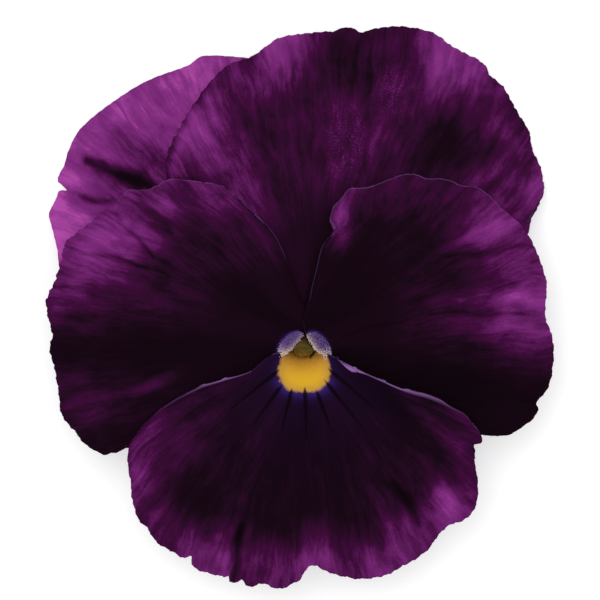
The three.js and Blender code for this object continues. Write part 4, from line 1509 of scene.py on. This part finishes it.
def makeSepal(name):
    bearing, roof = sepals[name]
    form = sepalForm
    s = np.linspace(-1, 1, form["rows"])[:, None]
    across = np.linspace(-1, 1, form["columns"])[None]
    tail = lerp(form["seatHalfWidth"], form["earHalfWidth"], -s)
    tail = tail * (1 - np.clip(-s, 0, 1) ** 6 * form["earRounding"])
    blade = form["halfWidth"] * np.sin(math.pi * lerp(*form["arc"], np.clip(s, 0, 1))) ** 0.8
    width = np.where(s < 0, tail, blade)
    notch = 1 + form["toothDepth"] * np.sin(form["teeth"] * s) * smoothstep(s, 0.1, 0.4)
    offset = across * width * lerp(1, notch, np.abs(across))
    reach = np.where(s < 0, form["ring"] - form["earLean"] * s, lerp(form["ring"], form["reach"], s))
    angle = math.radians(bearing)
    x = bloom["heart"][0] + reach * math.cos(angle) - offset * math.sin(angle)
    y = bloom["heart"][1] + reach * math.sin(angle) + offset * math.cos(angle)
    rise = (roof - form["seat"]) * (1 - np.exp(-(reach - form["ring"]) / form["rise"]))
    z = np.where(s < 0, form["seat"] + form["earDepth"] * s, form["seat"] + rise - faceFall(x, y))
    keel = form["keel"] * np.exp(-((offset / form["keelHalfWidth"]) ** 2)) * smoothstep(s, 0.0, 0.15)
    z = z - keel + form["marginLift"] * across**4 * (s > 0)
    points = np.dstack([x, y, z])
    attributes = scaleAttributes(
        offset, s * form["reach"], grow=1 - np.abs(across) ** 4, margin=np.abs(across),
    )
    return sheetPiece(
        name + "_scale", points, attributes, not facesUp(points), form, bearing, sepalSkin, sepalSkin,
    )


for name in sepals:
    standIn(makeSepal(name), "sepal", name)
print("stage 5: sepals")


# Stalk with its hook and receptacle, and the two bracts beside it

stalkForm = {
    "radius": 0.76,
    "sides": 60,
    "ribs": 5,
    "ribHeight": 0.05,
    "step": 0.4,
    "end": -26,
    "height": 0.82,
    "hookRadius": 2.6,
    "top": 4.5,
    "knot": (-14.7, 1.5, 0.06),  # at the bracts: place, half length and share of the radius
    "cutRadius": 1.03,  # share of the radius at the cut end
    "straightSteps": 20,
    "hookSteps": 14,
}

stalkPaint = {
    "tones": [(0.1, (0.07, 0.13, 0.025)), (0.5, (0.15, 0.25, 0.05)), (0.95, (0.30, 0.40, 0.13))],
    "streakSize": 0.3,
    "streakSquash": 0.12,  # draws the streaks out along the stalk
    "streakShare": 0.55,
    "cloudSize": 2.5,
    "flush": (0.12, 0.05, 0.05),
    "flushShare": 0.3,
    "flushSpan": (-9, -2),
    "cut": (0.42, 0.46, 0.22),
    "cutSpan": (0.15, 0.02),  # how far from its end the stalk's pale cut sets in, and is full
    "bumpDepth": 0.05,
    "roughness": (0.38, 0.55),
}

receptacle = {
    "centre": (*bloom["heart"], 0),
    "rows": 60,
    "sides": 72,
    "ribs": 5,
    "ribHeight": 0.02,
    "profile": [
        (0, 3.55), (0.7, 3.58), (1.2, 3.72), (1.9, 3.98), (2.45, 4.2), (2.62, 4.35), (2.64, 4.55),
        (2.55, 4.68), (2.3, 4.7), (2.08, 4.72), (2.0, 4.85), (1.98, 5.1), (1.88, 5.35), (1.6, 5.48),
        (1.0, 5.5), (0, 5.5),
    ],
}

bractForm = {
    "length": 3.6,
    "halfWidth": 0.45,
    "thickness": 0.22,
    "away": 0.86,  # from the stalk's axis, at its foot
    "spread": 1.35,
    "cupped": 0.1,
    "veinWidth": 0.2,
    "veinLength": 1.5,
    "veinHeight": 0.05,
    "ruffleLength": 2,
    "lowest": 0.05,
    "seed": 1.0,
    "rows": 40,
    "columns": 13,
}

bracts = {  # which side of the stalk, and where along it the foot is
    "left_bract": (-1, -14.0),
    "right_bract": (1, -15.5),
}


def stalkSkinMaterial():
    material, tree, shader = newMaterial("stalkSkin", 0.4)
    paint = stalkPaint
    spot = addNode(tree, "ShaderNodeTexCoord").outputs["Object"]
    page = addNode(tree, "ShaderNodeSeparateXYZ", None, {0: spot}).outputs
    drawn = calcVector(tree, "MULTIPLY", spot, (1.0, paint["streakSquash"], 1.0))
    streak = mapRange(tree, noise(tree, drawn, 1 / (paint["streakSize"] * mm), 3.0), 0.3, 0.7)
    cloud = mapRange(tree, noise(tree, spot, 1 / (paint["cloudSize"] * mm), 2.0), 0.3, 0.7)
    share = paint["streakShare"]
    shade = calc(tree, "MULTIPLY_ADD", streak, share, calc(tree, "MULTIPLY", cloud, 1 - share))
    colour = colourRamp(tree, shade, paint["tones"])
    start, full = paint["flushSpan"]
    flush = mapRange(tree, page[1], start * mm, full * mm, 0.0, paint["flushShare"])
    colour = mixColour(tree, calc(tree, "MULTIPLY", flush, cloud), colour, (*paint["flush"], 1))
    start, full = [(stalkForm["end"] + away) * mm for away in paint["cutSpan"]]
    cut = mapRange(tree, page[1], start, full)
    colour = mixColour(tree, cut, colour, (*paint["cut"], 1))
    finishSkin(tree, shader, colour, streak, paint["bumpDepth"], cloud, paint["roughness"])
    return material


stalkSkin = stalkSkinMaterial()


def makeStalk():
    form = stalkForm
    x = bloom["heart"][0]
    hookY = bloom["heart"][1] - form["hookRadius"]
    hookZ = form["height"] + form["hookRadius"]
    straight = np.linspace(form["end"], hookY, form["straightSteps"], endpoint=False)
    route = [(x, y, form["height"]) for y in straight]
    for angle in np.linspace(0, math.pi / 2, form["hookSteps"]):
        y = hookY + form["hookRadius"] * math.sin(angle)
        route.append((x, y, hookZ - form["hookRadius"] * math.cos(angle)))
    route.append((x, bloom["heart"][1], form["top"]))
    knot, halfLength, swell = form["knot"]
    radii = [1 + swell * math.exp(-(((y - knot) / halfLength) ** 2)) for _, y, _ in route]
    radii[0] = form["cutRadius"]
    piece = stemPiece("stalk_stem", route, radii, form, stalkSkin)
    cup = turnedPiece("cup", receptacle["profile"], receptacle)
    cup.data.materials.append(stalkSkin)
    closeUp(cup)
    return joinPieces(piece, cup)


def makeBract(name):
    side, foot = bracts[name]
    form = bractForm
    s = np.linspace(0, 1, form["rows"])[:, None]
    across = np.linspace(-1, 1, form["columns"])[None]
    full = np.ones_like(s * across)
    width = form["halfWidth"] * np.sin(math.pi * lerp(0.25, 0.975, s))
    away = form["away"] + form["spread"] * s**1.6 + form["cupped"] * across**2
    y = foot + form["length"] * s * full
    points = np.dstack([
        bloom["heart"][0] + side * away * full, y, stalkForm["height"] + across * width,
    ])
    attributes = scaleAttributes(across * width, y, margin=np.abs(across))
    return sheetPiece(
        name + "_scale", points, attributes, side < 0, form, form["seed"], sepalSkin, sepalSkin,
    )


standIn(makeStalk(), "stalk", "stalk")
for name in bracts:
    standIn(makeBract(name), "sepal", name)
print("stage 6: stalk and bracts")


# Middle of the bloom: ovary, style and stigma, and the five stamens round them

pistilForm = {
    "ovary": {
        "centre": (*bloom["heart"], 0), "rows": 40, "sides": 48, "ribs": 3, "ribHeight": 0.04,
        "profile": [
            (0, 5.55), (0.6, 5.6), (0.86, 6.0), (0.95, 6.5), (0.88, 7.0), (0.6, 7.55), (0.28, 7.85),
            (0, 7.9),
        ],
    },
    "style": {"radius": 0.26, "sides": 20, "ribs": 3, "ribHeight": 0.01, "step": 0.12},
    "styleSteps": 40,
    "styleTaper": (1.1, 0.95),  # of its radius, from the ovary to the stigma
    "styleRoute": [(-0.8, 7.3), (-0.95, 7.9), (-1.5, 8.3), (-2.2, 8.5), (-2.8, 8.7), (-3.4, 9.1)],  # y and z
    "stigma": {
        "centre": (bloom["throat"][0], -3.1, 8.8), "rows": 60, "sides": 56, "ribs": 3, "ribHeight": 0.03,
        "profile": [
            (0, -0.05), (0.26, 0), (0.34, 0.2), (0.54, 0.7), (0.84, 1.45), (1.05, 2.0), (1.12, 2.24),
            (1.07, 2.36), (0.8, 2.48), (0.4, 2.54), (0, 2.56),
        ],
        "tilt": Euler((math.radians(53), 0, 0)),  # its mouth looks to the front and up
    },
    "colours": [  # from the thin end of the stigma to its mouth: dark brown and olive with a darker band, partly painted shade under the beards, then gold at the mouth
        (0.0, (0.028, 0.015, 0.007)), (0.3, (0.072, 0.044, 0.010)), (0.47, (0.070, 0.048, 0.007)),
        (0.62, (0.055, 0.038, 0.005)), (0.77, (0.12, 0.07, 0.012)), (0.92, (0.24, 0.125, 0.02)),
        (1.0, (0.62, 0.34, 0.05)),
    ],
    "colourSpan": (-2.8, -5.85),
    "cloudSize": 0.5,
    "cloudShare": 0.15,
    "grainSize": 0.1,
    "bumpDepth": 0.04,
    "roughness": (0.4, 0.6),
}


def pistilSkinMaterial():
    material, tree, shader = newMaterial("pistilSkin", 0.08)
    paint = pistilForm
    spot = addNode(tree, "ShaderNodeTexCoord").outputs["Object"]
    page = addNode(tree, "ShaderNodeSeparateXYZ", None, {0: spot}).outputs
    cloud = mapRange(tree, noise(tree, spot, 1 / (paint["cloudSize"] * mm), 3.0), 0.3, 0.7)
    top, bottom = paint["colourSpan"]
    share = mapRange(tree, page[1], top * mm, bottom * mm, kind="LINEAR")
    share = calc(tree, "MULTIPLY_ADD", calc(tree, "SUBTRACT", cloud, 0.5), paint["cloudShare"], share)
    # partly painted shade under the beards
    colour = colourRamp(tree, share, paint["colours"])
    grain = noise(tree, spot, 1 / (paint["grainSize"] * mm), 2.0)
    finishSkin(tree, shader, colour, grain, paint["bumpDepth"], cloud, paint["roughness"])
    return material


def makePistil():
    skin = pistilSkinMaterial()
    route = [(bloom["heart"][0], y, z) for y, z in pistilForm["styleRoute"]]
    fine = smoothLine(route)[0](np.linspace(0, 1, pistilForm["styleSteps"]))
    radii = np.linspace(*pistilForm["styleTaper"], len(fine))
    style = stemPiece("pistil_column", fine, radii, pistilForm["style"], skin)
    ovary = turnedPiece("ovary", pistilForm["ovary"]["profile"], pistilForm["ovary"])
    stigma = pistilForm["stigma"]
    head = turnedPiece("stigma", stigma["profile"], stigma, tilt=stigma["tilt"])
    for part in (ovary, head):
        part.data.materials.append(skin)
        closeUp(part)
    return joinPieces(style, ovary, head)


stamenForm = {
    "ring": 1.45,
    "rows": 30,
    "columns": 17,
    "thickness": 0.36,
    "outline": [(5.8, 0.5), (6.5, 0.62), (7.1, 0.55), (7.45, 0.38), (7.62, 0.12)],  # height and half width
    "cellDepth": 0.06,
    "cellTop": (6.7, 7.1),
    "veinWidth": 0.3,
    "veinLength": 0.8,
    "veinHeight": 0.05,
    "ruffleLength": 2,
    "lowest": 0.05,
    "seed": 2.0,
}

stamenPaint = {
    "cell": [(0.0, (0.33, 0.27, 0.10)), (1.0, (0.55, 0.47, 0.22))],
    "tip": [(0.0, (0.30, 0.10, 0.015)), (1.0, (0.52, 0.22, 0.03))],
    "tipSpan": (6.75, 7.05),
    "cloudSize": 0.3,
    "bumpDepth": 0.05,
    "roughness": (0.55, 0.75),
}

stamens = {  # bearing of each
    "top_stamen": 90,
    "upper_left_stamen": 162,
    "upper_right_stamen": 18,
    "lower_left_stamen": 234,
    "lower_right_stamen": -54,
}


def stamenSkinMaterial():
    # pale pollen cells below, and an orange tip
    material, tree, shader = newMaterial("stamenSkin", 0.25)
    paint = stamenPaint
    spot = addNode(tree, "ShaderNodeTexCoord").outputs["Object"]
    page = addNode(tree, "ShaderNodeSeparateXYZ", None, {0: spot}).outputs
    cloud = mapRange(tree, noise(tree, spot, 1 / (paint["cloudSize"] * mm), 3.0), 0.3, 0.7)
    cell = colourRamp(tree, cloud, paint["cell"])
    tip = colourRamp(tree, cloud, paint["tip"])
    start, full = paint["tipSpan"]
    colour = mixColour(tree, mapRange(tree, page[2], start * mm, full * mm), cell, tip)
    finishSkin(tree, shader, colour, cloud, paint["bumpDepth"], cloud, paint["roughness"])
    return material


stamenSkin = stamenSkinMaterial()


def makeStamen(name):
    form = stamenForm
    line, _ = smoothLine(form["outline"])
    z, halfWidth = line(np.linspace(0, 1, form["rows"])).T[..., None]
    across = np.linspace(-1, 1, form["columns"])[None]
    angle = math.radians(stamens[name]) + across * halfWidth / form["ring"]
    cells = form["cellDepth"] * np.cos(2 * math.pi * across) * (1 - smoothstep(z, *form["cellTop"]))
    reach = form["ring"] - cells
    x = bloom["heart"][0] + reach * np.cos(angle)
    y = bloom["heart"][1] + reach * np.sin(angle)
    points = np.dstack([x, y, z * np.ones_like(x)])
    attributes = scaleAttributes(across * halfWidth, z)
    return sheetPiece(
        name + "_scale", points, attributes, False, form, form["seed"], stamenSkin, stamenSkin,
    )


standIn(makePistil(), "pistil", "pistil")
for name in stamens:
    standIn(makeStamen(name), "stamen", name)
print("stage 7: pistil and stamens")


# Stage: floor, lights and camera

studio = {
    "floorSize": 4000,
    "floorWhite": 0.6,
    "floorGlow": 0.5,  # the floor is lit from below too, as on a light table
    "worldStrength": 0.9,
    "keyPower": 4.0,
    "keySize": 900,
    "keyPlace": (-250, 350, 1100),
}


def makeFloor():
    half = studio["floorSize"] / 2
    corners = np.array([(-half, -half, 0), (half, -half, 0), (half, half, 0), (-half, half, 0)], float)
    floor = meshObject("floor", corners, np.array([(0, 1, 2, 3)]), {})
    material, _, shader = newMaterial("floorPaper", 0.0, Roughness=1.0)
    shader.inputs["Base Color"].default_value = (*[studio["floorWhite"]] * 3, 1)
    shader.inputs["Emission Color"].default_value = (1, 1, 1, 1)
    shader.inputs["Emission Strength"].default_value = studio["floorGlow"]
    floor.data.materials.append(material)


def makeLights():
    world = bpy.data.worlds.new("studio")
    bpy.context.scene.world = world
    world.use_nodes = True
    background = world.node_tree.nodes["Background"]
    background.inputs["Color"].default_value = (1, 1, 1, 1)
    background.inputs["Strength"].default_value = studio["worldStrength"]
    light = bpy.data.lights.new("key", "AREA")
    light.shape = "DISK"
    light.size = studio["keySize"] * mm
    light.energy = studio["keyPower"]
    key = placeObject("key", light)
    key.location = Vector(studio["keyPlace"]) * mm
    key.rotation_euler = (-key.location).to_track_quat("-Z", "Y").to_euler()


view = {
    "lens": 500,
    "sensor": 36,
    "width": 68.1,  # of the page at the height of the face
    "centre": (-0.05, 0.8),
    "faceHeight": 4,
    "nearest": 10,
    "farthest": 10000,
}


def makeCamera():
    data = bpy.data.cameras.new("camera")
    data.lens = view["lens"]
    data.sensor_width = view["sensor"]
    data.clip_start = view["nearest"] * mm
    data.clip_end = view["farthest"] * mm
    camera = placeObject("camera", data)
    distance = view["width"] * view["lens"] / view["sensor"]
    camera.location = Vector((*view["centre"], view["faceHeight"] + distance)) * mm
    bpy.context.scene.camera = camera


makeFloor()
makeLights()
makeCamera()
bpy.context.scene.view_settings.view_transform = "Standard"
print("stage 8: floor, lights and camera")
